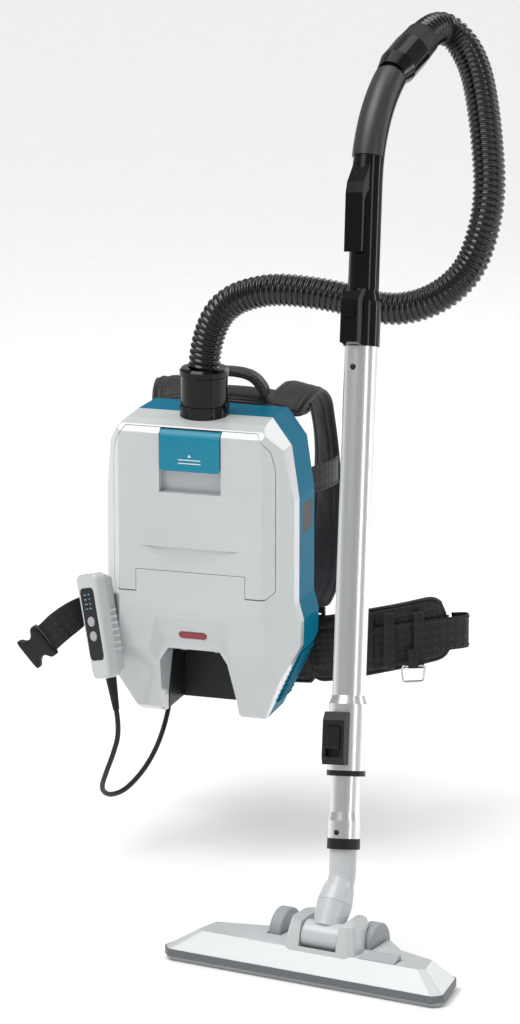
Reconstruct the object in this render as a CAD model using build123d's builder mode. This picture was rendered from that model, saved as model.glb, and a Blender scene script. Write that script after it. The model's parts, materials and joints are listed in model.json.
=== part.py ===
"""Backpack vacuum cleaner: pack, harness, hose, telescopic wand and floor head.

Millimetres.  The origin is the middle of the back pad's face that lies against the wearer,
the pack's front faces -Y and +Z is up.
"""

from build123d import *
from math import cos, radians, sin, tan
import os

# ---- driving dimensions: pack -------------------------------------------------------------
PAD_Y = -25.0  # front of the back pad, which starts at y = 0
PLATE_Y = -33.0  # front of the back plate
JOINT_Y = -94.0  # plane where the two housing halves meet
FRONT_Y = -150.0  # flat front face
WALL = 3.0
TOP_Z = 152.0
FOOT_Z = -204.0
FACE_X = 86.0  # half-width of the flat front face
INLET_Y = -97.0
ARCH_TOP_Z = -118.0
SEAM = 0.6  # gap round the lid

# ---- driving dimensions: hose, wand and floor head ----------------------------------------
HOSE_R = 18.5
INLET_R = 28.0
OUTER_R = 18.0  # outer wand tube
INNER_R = 16.2  # inner wand tube
SLEEVE_R = 21.0
HANDLE_R = 17.0
BEND_R = 175.0  # handle bend
BEND_DEG = 55.0
FLOOR_Z = -370.0
HEAD_YAW = -10.1
HEAD_LENGTH = 318.0

# ---- frames of the slanted assemblies -----------------------------------------------------
WAND_FOOT = Vector(262.3, -407.3, -242.8)  # where the inner tube leaves its bottom collar
WAND_UP = Vector(-0.0504, 0.2734, 0.9606).normalized()
BACKWARDS = Vector(0.18, 0.98, 0)
SIDE_X = BACKWARDS.cross(WAND_UP).normalized()
WAND = Plane(origin=WAND_FOOT, x_dir=SIDE_X, z_dir=WAND_UP)  # local -Y is the wand's front
WAND_SIDE = Plane(origin=WAND_FOOT, x_dir=WAND.y_dir, z_dir=SIDE_X)  # (back, up) section
BEND_START = 720.0
BEND_END = WAND_SIDE.from_local_coords(
    (BEND_R * (1 - cos(radians(BEND_DEG))), BEND_START + BEND_R * sin(radians(BEND_DEG)), 0)
)
CUFF_DIR = WAND.y_dir * sin(radians(BEND_DEG)) + WAND_UP * cos(radians(BEND_DEG))
SOCKET = Plane(origin=BEND_END, x_dir=SIDE_X, z_dir=CUFF_DIR)
HEAD = Plane(
    origin=(240.2, -499.3, FLOOR_Z),
    x_dir=(cos(radians(HEAD_YAW)), sin(radians(HEAD_YAW)), 0),
    z_dir=(0, 0, 1),
)


def save(builder, name):
    """Label a finished piece and write it."""
    builder.part.label = name
    export_step(builder.part, f"parts/{name}.step")


def head_section(across):
    """Plane across the floor head: local X towards its rear, local Y up."""
    return Plane(origin=HEAD.from_local_coords((across, 0, 0)), x_dir=HEAD.y_dir, z_dir=HEAD.x_dir)


def mirrored(points):
    """Close a right-hand half outline with its mirror image."""
    return points + [(-x, z) for x, z in reversed(points)]


def band(stations, width, thickness):
    """A strap as one closed solid, lofted through (centre, width direction, run direction)."""
    with BuildPart() as strap:
        for centre, across, along in stations:
            with BuildSketch(Plane(origin=centre, x_dir=across, z_dir=along)):
                Rectangle(width, thickness)
        loft(ruled=True)
    return strap


def flat_run(points, across, width, thickness):
    """Stations of a strap whose width keeps one direction along a list of centres."""
    last = len(points) - 1
    stations = []
    for i, point in enumerate(points):
        along = Vector(points[min(i + 1, last)]) - Vector(points[max(i - 1, 0)])
        stations.append((point, across, along))
    return band(stations, width, thickness)


os.makedirs("parts", exist_ok=True)

# ---- housing ------------------------------------------------------------------------------
HALF_OUTLINE = [(81, TOP_Z), (104, 121), (113, 60), (113, -62)]
HALF_OUTLINE += [(119, -84), (118, -113), (76, FOOT_Z)]
FRONT_PLAN = [(-127, JOINT_Y), (-FACE_X, FRONT_Y), (FACE_X, FRONT_Y), (127, JOINT_Y)]
FRONT_PROFILE = [(JOINT_Y, TOP_Z), (-126, 149), (-142, 145), (FRONT_Y, 137), (FRONT_Y, -70)]
FRONT_PROFILE += [(-145, ARCH_TOP_Z), (-113, -197), (-103, FOOT_Z), (JOINT_Y, FOOT_Z)]
REAR_INSET = 0.6
RECESS_DEPTH = 12.0  # sloping facets round the battery arch
ARCH = mirrored([(46, FOOT_Z - 20), (46, -182), (41, -133), (31, ARCH_TOP_Z)])
BAY_BACK_Y = -41.0
LID_HALF = [(79, 143), (93, 122), (97, 100), (97, -42), (89, -49.5), (66, -49.5), (66, -23)]
HINGE_Y, HINGE_Z, KNUCKLE_R, PIN_R = -147.2, -46.3, 2.8, 1.25
LID_FOOT_GAP = 0.7  # more room below the lid, for its lower edge to turn
LATCH_HALF_X, LATCH_TOP, LATCH_FOOT, POCKET_FOOT = 36.0, 143.0, 95.0, 69.0
POCKET_Y = FRONT_Y + 15


def front_block(inset):
    """The front half's outer shape, every wall moved in by inset."""
    with BuildPart() as block:
        with BuildSketch(Plane.XZ.offset(-JOINT_Y)):
            with BuildLine():
                Polyline(*mirrored(HALF_OUTLINE), close=True)
            make_face()
            offset(amount=-inset - 0.01, kind=Kind.INTERSECTION)
        extrude(amount=JOINT_Y - FRONT_Y)
        with BuildSketch(Plane.XY.offset(FOOT_Z - 1)):
            with BuildLine():
                Polyline(*FRONT_PLAN, close=True)
            make_face()
            with Locations((0, JOINT_Y + 20)):
                Rectangle(254, 40)
            offset(amount=-inset - 0.01, kind=Kind.INTERSECTION)
        extrude(amount=TOP_Z - FOOT_Z + 2, mode=Mode.INTERSECT)
        with BuildSketch(Plane.YZ.offset(-130)):
            with BuildLine():
                Polyline(*FRONT_PROFILE, close=True)
            make_face()
            with Locations((JOINT_Y + 20, (TOP_Z + FOOT_Z) / 2)):
                Rectangle(40, TOP_Z - FOOT_Z)
            offset(amount=-inset - 0.01, kind=Kind.INTERSECTION)
        extrude(amount=260, mode=Mode.INTERSECT)
        if inset == 0:
            front_edges = block.edges().filter_by(lambda e: e.center().Y < JOINT_Y - 1)
            fillet(front_edges, radius=2.4)
        with BuildSketch(Plane.XZ.offset(1 - FRONT_Y - inset)):
            Polygon(*mirrored([(80 + inset, -215), (80 + inset, -150), (45 + inset, inset - 74)]), align=None)
        with BuildSketch(Plane.XZ.offset(-FRONT_Y - RECESS_DEPTH - inset)):
            floor_half = [(58 + inset, -215), (56 + inset, -160), (33 + inset, inset - 108)]
            Polygon(*mirrored(floor_half), align=None)
        loft(mode=Mode.SUBTRACT)
    return block.part


front_outer = front_block(0)
front_inner = front_block(WALL)

with BuildPart() as arch_prism:
    with BuildSketch(Plane.XZ.offset(-BAY_BACK_Y)):
        Polygon(*ARCH, align=None)
    extrude(amount=130)

with BuildPart() as lid_prism:
    with BuildSketch(Plane.XZ.offset(110)):
        with BuildLine():
            Polyline(*mirrored(LID_HALF), close=True)
        make_face()
        fillet(vertices().filter_by(lambda v: abs(v.X) > 80), radius=5)
    extrude(amount=60)
    with Locations((0, FRONT_Y, LID_HALF[-2][1])):
        Box(200, 120, 2 * LID_FOOT_GAP, mode=Mode.SUBTRACT)

with BuildPart() as lid_gap:
    with BuildSketch(Plane.XZ.offset(110)):
        with BuildLine():
            Polyline(*mirrored(LID_HALF), close=True)
        make_face()
        fillet(vertices().filter_by(lambda v: abs(v.X) > 80), radius=5)
        offset(amount=SEAM)
    extrude(amount=60)

# Ribs inside the lower front carry the hinge pins beside each lid leg.
with BuildPart() as front_housing:
    add(front_outer)
    add(front_inner, mode=Mode.SUBTRACT)
    with BuildSketch(Plane.XZ.offset(-JOINT_Y)):
        Polygon(*ARCH, align=None)
        offset(amount=WALL, kind=Kind.INTERSECTION)
    extrude(amount=60)
    add(front_outer, mode=Mode.INTERSECT)
    add(arch_prism.part, mode=Mode.SUBTRACT)
    add(lid_gap.part, mode=Mode.SUBTRACT)
    for side in (-1, 1):
        with Locations((side * 61, HINGE_Y + 1.5, HINGE_Z)):
            Box(8, 5, 8)
    add(front_outer, mode=Mode.INTERSECT)
    with Locations(Location((0, HINGE_Y, HINGE_Z), (0, 90, 0))):
        Cylinder(PIN_R, 170, mode=Mode.SUBTRACT)
    with Locations((0, INLET_Y, TOP_Z)):
        Cylinder(INLET_R + 0.6, 14, mode=Mode.SUBTRACT)
    with BuildSketch(Plane.XZ.offset(-JOINT_Y)):
        Rectangle(300, 500)
    extrude(amount=-80, mode=Mode.SUBTRACT)
save(front_housing, "front_housing")

with BuildPart() as rear_outer:
    with BuildSketch(Plane.XZ.offset(-JOINT_Y)):
        with BuildLine():
            Polyline(*mirrored(HALF_OUTLINE), close=True)
        make_face()
    with BuildSketch(Plane.XZ.offset(-PLATE_Y)):
        with BuildLine():
            Polyline(*mirrored(HALF_OUTLINE), close=True)
        make_face()
        offset(amount=-REAR_INSET, kind=Kind.INTERSECTION)
    loft()
    fillet(rear_outer.edges().filter_by(lambda e: abs(e.center().Y - PLATE_Y) < 0.5), radius=2.5)

with BuildPart() as rear_housing:
    add(rear_outer.part)
    with BuildSketch(Plane.XZ.offset(-JOINT_Y)):
        with BuildLine():
            Polyline(*mirrored(HALF_OUTLINE), close=True)
        make_face()
        offset(amount=-WALL - REAR_INSET, kind=Kind.INTERSECTION)
    extrude(amount=-(PLATE_Y - JOINT_Y - WALL), mode=Mode.SUBTRACT)
    with BuildSketch(Plane.XZ.offset(-BAY_BACK_Y + WALL)):
        Polygon(*ARCH, align=None)
        offset(amount=WALL, kind=Kind.INTERSECTION)
    extrude(amount=-(JOINT_Y - BAY_BACK_Y) - WALL)
    add(rear_outer.part, mode=Mode.INTERSECT)
    add(arch_prism.part, mode=Mode.SUBTRACT)
    with Locations((0, INLET_Y, TOP_Z)):
        Cylinder(INLET_R + 0.6, 14, mode=Mode.SUBTRACT)
save(rear_housing, "rear_housing")

# ---- lid and latch ------------------------------------------------------------------------
# The lid's scoop narrows from a crescent on the surface to a flatter one at its floor.
SCOOP_TOP = 5.0
SCOOP = [(-0.1, 60, 19), (1.9, 50, 5)]  # depth, half-width and drop of each crescent

with BuildPart() as front_cover:
    add(front_outer)
    add(front_inner, mode=Mode.SUBTRACT)
    with Locations((0, (FRONT_Y + POCKET_Y) / 2, (LATCH_TOP + POCKET_FOOT) / 2)):
        Box(2 * LATCH_HALF_X + 8, POCKET_Y - FRONT_Y + 4, LATCH_TOP - POCKET_FOOT + 8)
    add(front_outer, mode=Mode.INTERSECT)
    with Locations((0, (FRONT_Y + POCKET_Y) / 2 - 2.4, (LATCH_TOP + POCKET_FOOT) / 2 + 3)):
        Box(2 * LATCH_HALF_X + 2, POCKET_Y - FRONT_Y, LATCH_TOP - POCKET_FOOT + 6, mode=Mode.SUBTRACT)
    for depth, half, drop in SCOOP:
        with BuildSketch(Plane.XZ.offset(-FRONT_Y - depth)):
            with BuildLine():
                Line((-half, SCOOP_TOP), (half, SCOOP_TOP))
                ThreePointArc((half, SCOOP_TOP), (0, SCOOP_TOP - drop), (-half, SCOOP_TOP))
            make_face()
    loft(mode=Mode.SUBTRACT)
    for side in (-1, 1):
        with Locations(Location((side * 76, HINGE_Y, HINGE_Z), (0, 90, 0))):
            Cylinder(KNUCKLE_R, 18)
    add(lid_prism.part, mode=Mode.INTERSECT)
    with Locations(Location((0, HINGE_Y, HINGE_Z), (0, 90, 0))):
        Cylinder(PIN_R + 0.05, 172, mode=Mode.SUBTRACT)
save(front_cover, "front_cover")

with BuildPart() as lid_hinge_pins:
    for side in (-1, 1):
        with Locations(Location((side * 71, HINGE_Y, HINGE_Z), (0, 90, 0))):
            Cylinder(PIN_R, 27)
save(lid_hinge_pins, "lid_hinge_pins")

LATCH_PIN_Y, LATCH_PIN_Z, LATCH_PIN_R = FRONT_Y + 6.5, LATCH_TOP - 9.0, 1.5
with BuildPart() as latch:
    with BuildSketch(Plane.YZ.offset(-LATCH_HALF_X)):
        with BuildLine():
            l1 = Line((FRONT_Y - 1.5, LATCH_FOOT), (FRONT_Y - 1.5, LATCH_TOP - 12))
            l2 = RadiusArc(l1 @ 1, (FRONT_Y + 5, LATCH_TOP - 1.5), 12)
            Polyline(l2 @ 1, (FRONT_Y + 9, LATCH_TOP - 1.5), (FRONT_Y + 9, LATCH_TOP - 12))
            Polyline((FRONT_Y + 9, LATCH_TOP - 12), (FRONT_Y + 3, LATCH_TOP - 15))
            Polyline((FRONT_Y + 3, LATCH_TOP - 15), (FRONT_Y + 3, LATCH_FOOT), l1 @ 0)
        make_face()
    extrude(amount=2 * LATCH_HALF_X)
    fillet(latch.edges().filter_by(Axis.Y).group_by(Axis.Z)[0], radius=4)
    with Locations(Location((0, LATCH_PIN_Y, LATCH_PIN_Z), (0, 90, 0))):
        Cylinder(LATCH_PIN_R + 0.05, 100, mode=Mode.SUBTRACT)
save(latch, "latch")

with BuildPart() as latch_pin:
    with Locations(Location((0, LATCH_PIN_Y, LATCH_PIN_Z), (0, 90, 0))):
        Cylinder(LATCH_PIN_R, 2 * LATCH_HALF_X + 2)
save(latch_pin, "latch_pin")

# ---- inside the pack ----------------------------------------------------------------------
with BuildPart() as inlet_collar:
    with Locations((0, INLET_Y, TOP_Z - 7)):
        Cylinder(INLET_R, 14, align=(Align.CENTER, Align.CENTER, Align.MIN))
        Cylinder(INLET_R + 0.5, 5, align=(Align.CENTER, Align.CENTER, Align.MIN))
    with Locations((0, INLET_Y, TOP_Z + 6)):
        Cylinder(INLET_R + 0.6, 5, align=(Align.CENTER, Align.CENTER, Align.MIN))
    with Locations((0, INLET_Y, TOP_Z - 32)):
        Cylinder(25, 30, align=(Align.CENTER, Align.CENTER, Align.MIN))
    with Locations((0, INLET_Y, TOP_Z)):
        Cylinder(23.06, 100, mode=Mode.SUBTRACT)
save(inlet_collar, "inlet_collar")

with BuildPart() as dust_bag:
    with BuildSketch(Plane.XY.offset(-28)):
        with Locations((0, -99)):
            RectangleRounded(150, 62, 18)
    with BuildSketch(Plane.XY.offset(50)):
        with Locations((0, -98)):
            RectangleRounded(168, 66, 22)
    with BuildSketch(Plane.XY.offset(112)):
        with Locations((0, -97)):
            RectangleRounded(110, 44, 18)
    loft()
save(dust_bag, "dust_bag")

with BuildPart() as hepa_filter:
    with Locations((0, -92, -44)):
        Box(150, 76, 22)
    with Locations((0, -54.4, -44)):
        with GridLocations(8, 1, 17, 1):
            Box(4, 3, 18, mode=Mode.SUBTRACT)
    with Locations((0, -129.6, -44)):
        with GridLocations(8, 1, 17, 1):
            Box(4, 3, 18, mode=Mode.SUBTRACT)
save(hepa_filter, "hepa_filter")

MOTOR_X, MOTOR_Y, MOTOR_Z, MOTOR_R = 0.0, -88.0, -84.0, 27.0
with BuildPart() as motor_housing:
    with Locations((MOTOR_X, MOTOR_Y, MOTOR_Z)):
        Cylinder(MOTOR_R, 56)
        Cylinder(MOTOR_R + 7, 12)
    with Locations((MOTOR_X, MOTOR_Y, MOTOR_Z + 12)):
        Cylinder(MOTOR_R - 3, 28.5, mode=Mode.SUBTRACT)
    with Locations((MOTOR_X, MOTOR_Y, MOTOR_Z - 15)):
        Cylinder(3.04, 40, mode=Mode.SUBTRACT)
    with Locations((MOTOR_X, MOTOR_Y, MOTOR_Z + 25)):
        Cylinder(14, 20, mode=Mode.SUBTRACT)
save(motor_housing, "motor_housing")

with BuildPart() as impeller:
    with Locations((MOTOR_X, MOTOR_Y, MOTOR_Z + 4)):
        Cylinder(20, 2)
        Cylinder(6, 14, align=(Align.CENTER, Align.CENTER, Align.MIN))
    with Locations((MOTOR_X, MOTOR_Y, MOTOR_Z - 12)):
        Cylinder(3, 34)
    with Locations((MOTOR_X, MOTOR_Y, MOTOR_Z + 10)):
        with PolarLocations(12.5, 9):
            Box(14, 1.4, 11)
save(impeller, "impeller")

with BuildPart() as control_board:
    with Locations((80, -70, -90)):
        Box(3, 46, 60)
    with Locations((75.5, -70, -80)):
        Box(6, 20, 20)
save(control_board, "control_board")

with BuildPart() as battery_contacts:
    with Locations((0, -60, ARCH_TOP_Z - 4)):
        Box(52, 34, 8)
    for side in (-1, 1):
        with Locations((side * 20, -96, ARCH_TOP_Z - 4)):
            Box(6, 38, 8)
    with Locations((0, -92, ARCH_TOP_Z - 4)):
        with GridLocations(10, 1, 3, 1):
            Box(1.6, 30, 8)
save(battery_contacts, "battery_contacts")

SCREW_SPOTS = [(-70, 120), (70, 120), (-96, 20), (96, 20), (-96, -110), (96, -110)]
with BuildPart() as housing_screws:
    with BuildSketch(Plane.XZ.offset(-PLATE_Y)):
        with Locations(*SCREW_SPOTS):
            Circle(4)
    extrude(amount=-2.2)
    with BuildSketch(Plane.XZ.offset(-PLATE_Y - 2.2)):
        with Locations(*SCREW_SPOTS):
            Circle(2)
    extrude(amount=1, mode=Mode.SUBTRACT)
save(housing_screws, "housing_screws")

# ---- back plate, pad and harness ----------------------------------------------------------
with BuildPart() as back_plate:
    with BuildSketch(Plane.XZ.offset(-PAD_Y)):
        with BuildLine():
            Polyline(*mirrored([(72, 146), (92, 116), (96, 40), (100, -110), (84, -150)]), close=True)
        make_face()
        with Locations(*SCREW_SPOTS):
            Circle(4, mode=Mode.SUBTRACT)
    extrude(amount=PAD_Y - PLATE_Y)
    fillet(back_plate.edges().filter_by(Axis.Y).filter_by(GeomType.LINE), radius=8)
save(back_plate, "back_plate")

with BuildPart() as back_pad:
    with BuildSketch(Plane.XZ):
        with Locations((0, -2)):
            RectangleRounded(172, 268, 26)
    extrude(amount=-PAD_Y)
save(back_pad, "back_pad")

SHOULDER_PATH = [(-14, 139.5), (10, 154), (44, 158), (76, 138), (94, 96), (98, 46), (92, -12)]
SHOULDER_PATH += [(72, -56), (42, -84), (10, -96)]
SHOULDER_WIDTH, SHOULDER_THICK = 54.0, 13.0
for side, name in ((-1, "shoulder_strap_left"), (1, "shoulder_strap_right")):
    count = len(SHOULDER_PATH) - 1
    stations = []
    for i, (back, height) in enumerate(SHOULDER_PATH):
        share = i / count
        turn = radians(44 * sin(radians(180 * min(1, 1.15 * share))))
        ahead, behind = SHOULDER_PATH[min(i + 1, count)], SHOULDER_PATH[max(i - 1, 0)]
        run = Vector(0, ahead[0] - behind[0], ahead[1] - behind[1])
        across = Vector(cos(turn) * side, -sin(turn), 0)
        across = (across - run * (across.dot(run) / run.dot(run))).normalized()
        centre_x = side * (64 + 24 * sin(radians(90 * min(1, 1.6 * share))))
        stations.append(((centre_x, back, height), across, run))
    save(band(stations, SHOULDER_WIDTH, SHOULDER_THICK), name)

UP = Vector(0, 0, 1)
RIGHT_WING = [(90, 9, -150), (130, 11, -143), (170, 17, -134), (210, 32, -126), (248, 54, -118)]
LEFT_WING = [(-88, 9, -150), (-112, 26, -147), (-128, 56, -142), (-134, 92, -138)]
save(flat_run(RIGHT_WING, UP, 78, 13), "waist_wing_right")
save(flat_run(LEFT_WING, UP, 78, 13), "waist_wing_left")

WEB_THICK = 2.4
LEFT_WEB = [(-143.5, 88, -139), (-147, 50, -134), (-147, 0, -122), (-146, -60, -104)]
LEFT_WEB += [(-151, -98, -95), (-172, -110, -110), (-191, -108, -128)]
save(flat_run(LEFT_WEB, UP, 36, WEB_THICK), "waist_web_left")
RIGHT_WEB = [(150, 2.6, -138), (180, 10, -134), (212, 23, -129), (246, 41.5, -126), (262, 56, -126)]
RIGHT_WEB += [(269, 70, -127), (263, 82, -128), (247.5, 80, -129)]
save(flat_run(RIGHT_WEB, UP, 40, WEB_THICK), "waist_web_right")

BUCKLE_RUN = (Vector(*LEFT_WEB[-1]) - Vector(*LEFT_WEB[-2])).normalized()
with BuildPart() as buckle_socket:
    with BuildSketch(Plane(origin=Vector(*LEFT_WEB[-1]) + BUCKLE_RUN * 1.2, x_dir=UP, z_dir=BUCKLE_RUN)):
        RectangleRounded(42, 11, 3)
    extrude(amount=34)
    with BuildSketch(Plane(origin=Vector(*LEFT_WEB[-1]) + BUCKLE_RUN * 12, x_dir=UP, z_dir=BUCKLE_RUN)):
        Rectangle(30, 6)
    extrude(amount=34, mode=Mode.SUBTRACT)
save(buckle_socket, "buckle_socket")

with BuildPart() as buckle_plug:
    with Locations(Location((224, 74, -130), (0, 0, 12))):
        Box(40, 9, 34)
    with Locations(Location((202, 69.5, -130), (0, 0, 12))):
        with GridLocations(1, 24, 1, 2):
            Box(20, 5, 5)
        Box(20, 5, 5)
save(buckle_plug, "buckle_plug")

LOOP_SPOTS = [((166, 3.2), 14), ((190, 10.4), 21), ((222, 25), 27)]
TAB_CENTRE, RING_Z, RING_WIRE = (218, 17), -160.0, 1.3
RING_TURN = 26.0
RING = Plane(
    origin=(*TAB_CENTRE, RING_Z),
    x_dir=(cos(radians(RING_TURN)), sin(radians(RING_TURN)), 0),
    z_dir=(sin(radians(RING_TURN)), -cos(radians(RING_TURN)), 0),
)
with BuildPart() as belt_loops:
    for (x, y), turn in LOOP_SPOTS:
        with Locations(Location((x, y, -131), (0, 0, turn))):
            Box(10, 2, 66)
    with Locations(Location((*TAB_CENTRE, RING_Z + 4), (0, 0, RING_TURN))):
        Box(9, 4.4, 13)
    with BuildSketch(Plane(origin=RING.origin, x_dir=(0, 0, 1), z_dir=RING.x_dir)):
        Circle(RING_WIRE + 0.08)
    extrude(amount=20, both=True, mode=Mode.SUBTRACT)
save(belt_loops, "belt_loops")

with BuildPart() as d_ring:
    with BuildLine(RING) as ring_path:
        FilletPolyline((-5, 0), (-14, 0), (-12, -19), (12, -19), (14, 0), (5, 0), radius=3)
        Line((5, 0), (-5, 0))
    with BuildSketch(Plane(origin=RING.origin, x_dir=(0, 0, 1), z_dir=RING.x_dir)):
        Circle(RING_WIRE)
    sweep(path=ring_path.wires()[0])
save(d_ring, "d_ring")

GRAB_ROUTE = [(-27, -20, 151), (-36, -16, 180), (0, -10, 192), (36, -16, 180), (27, -20, 151)]
with BuildPart() as grab_handle:
    with BuildLine() as grab_path:
        FilletPolyline(*GRAB_ROUTE, radius=13)
    with BuildSketch(Plane(origin=grab_path.line @ 0, z_dir=grab_path.line % 0)):
        Circle(8)
    sweep()
save(grab_handle, "grab_handle")

with BuildPart() as harness_bands:
    for side in (-1, 1):
        points = [(side * 100, -22, 62), (side * 110, 6, 62), (side * 114, 34, 61), (side * 112, 58, 60)]
        add(flat_run(points, UP, 32, WEB_THICK).part)
save(harness_bands, "harness_bands")

with BuildPart() as strap_adjusters:
    for side in (-1, 1):
        with Locations((side * 102, -6, -100)):
            Box(30, 5, 16)
            Box(22, 8, 3, mode=Mode.SUBTRACT)
save(strap_adjusters, "strap_adjusters")

# ---- hand remote on the left web ----------------------------------------------------------
REMOTE_UP = Vector(-0.219, 0.159, 0.963).normalized()
REMOTE_OUT = Vector(-0.59, -0.81, 0).normalized()
REMOTE = Plane(origin=(-106, -152.5, -93.5), x_dir=REMOTE_UP.cross(REMOTE_OUT), z_dir=REMOTE_OUT)
REMOTE_W, REMOTE_H, REMOTE_T, REMOTE_TAPER = 42.0, 122.0, 28.0, 7.9
POWER_Y, MODE_Y = 6.0, -11.0


def remote_outline():
    """Rounded remote face, a little narrower at its foot."""
    half, tall = REMOTE_W / 2, REMOTE_H / 2
    Polygon((-half, tall), (half, tall), (half - 3, -tall), (-half + 3, -tall), align=None)


def height_out(edge):
    """How far an edge lies in front of the plane where the remote's two shells meet."""
    return REMOTE.to_local_coords(edge.center()).Z


with BuildPart() as remote_front:
    with BuildSketch(REMOTE):
        remote_outline()
        fillet(vertices(), radius=8)
    extrude(amount=REMOTE_T / 2)
    front_rim = remote_front.edges().filter_by(lambda e: height_out(e) > REMOTE_T / 2 - 0.1)
    fillet(front_rim, radius=4)
    with BuildSketch(REMOTE.offset(REMOTE_T / 2 - 1.2)):
        with Locations((0, 3)):
            RectangleRounded(28.4, 84.4, 6)
    extrude(amount=5, mode=Mode.SUBTRACT)
    with BuildSketch(REMOTE):
        with Locations((0, POWER_Y), (0, MODE_Y)):
            Ellipse(7.4, 6.2)
    extrude(amount=REMOTE_T, mode=Mode.SUBTRACT)
save(remote_front, "remote_front")

with BuildPart() as remote_panel:
    with BuildSketch(REMOTE.offset(REMOTE_T / 2 - 1.2)):
        with Locations((0, 3)):
            RectangleRounded(28.2, 84.2, 5.9)
        with Locations((0, POWER_Y), (0, MODE_Y)):
            Ellipse(7.4, 6.2, mode=Mode.SUBTRACT)
    extrude(amount=1.5)
save(remote_panel, "remote_panel")

for name, height in (("power_button", POWER_Y), ("mode_button", MODE_Y)):
    with BuildPart() as button:
        with BuildSketch(REMOTE.offset(REMOTE_T / 2 - 6)):
            with Locations((0, height)):
                Ellipse(7.0, 5.8)
        extrude(amount=7.2)
        fillet(button.edges().filter_by(lambda e: height_out(e) > REMOTE_T / 2 + 1), radius=0.8)
    save(button, name)

with BuildPart() as remote_back:
    with BuildSketch(REMOTE):
        remote_outline()
        fillet(vertices(), radius=8)
    with BuildSketch(REMOTE.offset(-REMOTE_T / 2)):
        remote_outline()
        fillet(vertices(), radius=8)
        offset(amount=-REMOTE_TAPER, kind=Kind.INTERSECTION)
    loft()
save(remote_back, "remote_back")

with BuildPart() as remote_clip:
    with BuildSketch(REMOTE.offset(-REMOTE_T / 2 - 0.2)):
        with Locations((-30, 4)):
            RectangleRounded(46, 34, 6)
    extrude(amount=-4)
save(remote_clip, "remote_clip")

RELIEF_LENGTH = 38.0
REMOTE_FOOT = Plane(
    origin=REMOTE.origin - REMOTE_UP * (REMOTE_H / 2 + 0.1), x_dir=REMOTE.x_dir, z_dir=-REMOTE_UP
)
with BuildPart() as cord_relief:
    with BuildSketch(REMOTE_FOOT):
        Circle(6.4)
    with BuildSketch(REMOTE_FOOT.offset(RELIEF_LENGTH)):
        Circle(3.7)
    loft()
save(cord_relief, "cord_relief")

# ---- remote cord --------------------------------------------------------------------------
CORD_R = 3.0
CORD_START = REMOTE_FOOT.from_local_coords((0, 0, RELIEF_LENGTH))
CORD_ROUTE = [tuple(CORD_START), tuple(CORD_START - REMOTE_UP * 25), (-86, -176, -241)]
CORD_ROUTE += [(-96, -175, -266), (-106, -163, -288)]
CORD_ROUTE += [(-103, -146, -301), (-92, -126, -301), (-82, -104, -290), (-74, -80, -274), (-69, -56, -252)]
CORD_ROUTE += [(-66.5, -36, -224), (-66, -27, -194), (-66, -27, -162)]
GLAND_TOP = -150.0


def rounded_route(points):
    """Straight runs joined by arcs, each as large as the shorter of its two runs allows."""
    radii = []
    for before, corner, after in zip(points, points[1:], points[2:]):
        run_in, run_out = Vector(*corner) - Vector(*before), Vector(*after) - Vector(*corner)
        shorter = min(run_in.length, run_out.length)
        radii.append(0.45 * shorter / tan(radians(run_in.get_angle(run_out)) / 2))
    print("arc radii", [round(r) for r in radii])
    return FilletPolyline(*points, radius=radii)


def round_tube(points, radius):
    """A plain tube along a rounded route, its volume compared with section times length."""
    with BuildPart() as tube:
        with BuildLine() as path:
            rounded_route(points)
        with BuildSketch(Plane(origin=path.line @ 0, z_dir=path.line % 0)):
            Circle(radius)
        sweep()
    length = sum(edge.length for edge in path.edges())
    expected = 3.14159 * radius**2 * length
    print("tube length", round(length), "volume ratio", round(tube.part.volume / expected, 4))
    return tube


save(round_tube(CORD_ROUTE, CORD_R), "remote_cord")

with BuildPart() as cord_gland:
    with BuildSketch(Plane.XY.offset(GLAND_TOP - 12)):
        with Locations((-66, -27)):
            Circle(4.4)
    with BuildSketch(Plane.XY.offset(GLAND_TOP - 3)):
        with Locations((-66, -27)):
            Circle(5.6)
    loft()
    with BuildSketch(Plane.XY.offset(GLAND_TOP - 3)):
        with Locations((-66, -27)):
            Circle(5.8)
    extrude(amount=3)
save(cord_gland, "cord_gland")

# ---- hose ---------------------------------------------------------------------------------
CONNECTOR_PROFILE = [(18.55, 202), (18.55, 206), (26, 206), (28.5, 203), (28.5, 197), (27, 195.5)]
CONNECTOR_PROFILE += [(27, 163.4), (23, 163.4), (23, 122), (20, 122), (20, 202)]
with BuildPart() as hose_connector:
    with BuildSketch(Plane.XZ.offset(-INLET_Y)):
        with BuildLine():
            Polyline(*CONNECTOR_PROFILE, close=True)
        make_face()
    revolve(axis=Axis((0, INLET_Y, 0), (0, 0, 1)))
save(hose_connector, "hose_connector")

HOSE_ROUTE = [(0, -97, 206), (1, -97, 234), (22, -97, 281), (72, -97, 301), (123, -97, 301)]
HOSE_ROUTE += [(172, -97, 295), (221, -97, 284), (271, -97, 298), (309, -94, 331), (325, -90, 376)]
HOSE_ROUTE += [(329, -78, 422), (321, -61, 467), (309, -38, 511), (293, -12, 549), (272, 6, 576)]
HOSE_END = SOCKET.from_local_coords((0, 0, 47))
HOSE_ROUTE += [(252, 1, 593), tuple(HOSE_END + CUFF_DIR * 26), tuple(HOSE_END)]
save(round_tube(HOSE_ROUTE, HOSE_R), "hose")

with BuildPart() as hose_cuff:
    with BuildSketch(SOCKET.offset(22.3)):
        Circle(21.2)
    with BuildSketch(SOCKET.offset(47)):
        Circle(20)
    loft()
    with BuildSketch(SOCKET.offset(47)):
        Circle(20)
        Circle(HOSE_R + 0.02, mode=Mode.SUBTRACT)
    extrude(amount=6)
    with BuildSketch(SOCKET.offset(-4)):
        Circle(15.4)
    extrude(amount=27)
    with BuildSketch(SOCKET.offset(-10)):
        Circle(13)
    extrude(amount=57, mode=Mode.SUBTRACT)
save(hose_cuff, "hose_cuff")

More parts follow.
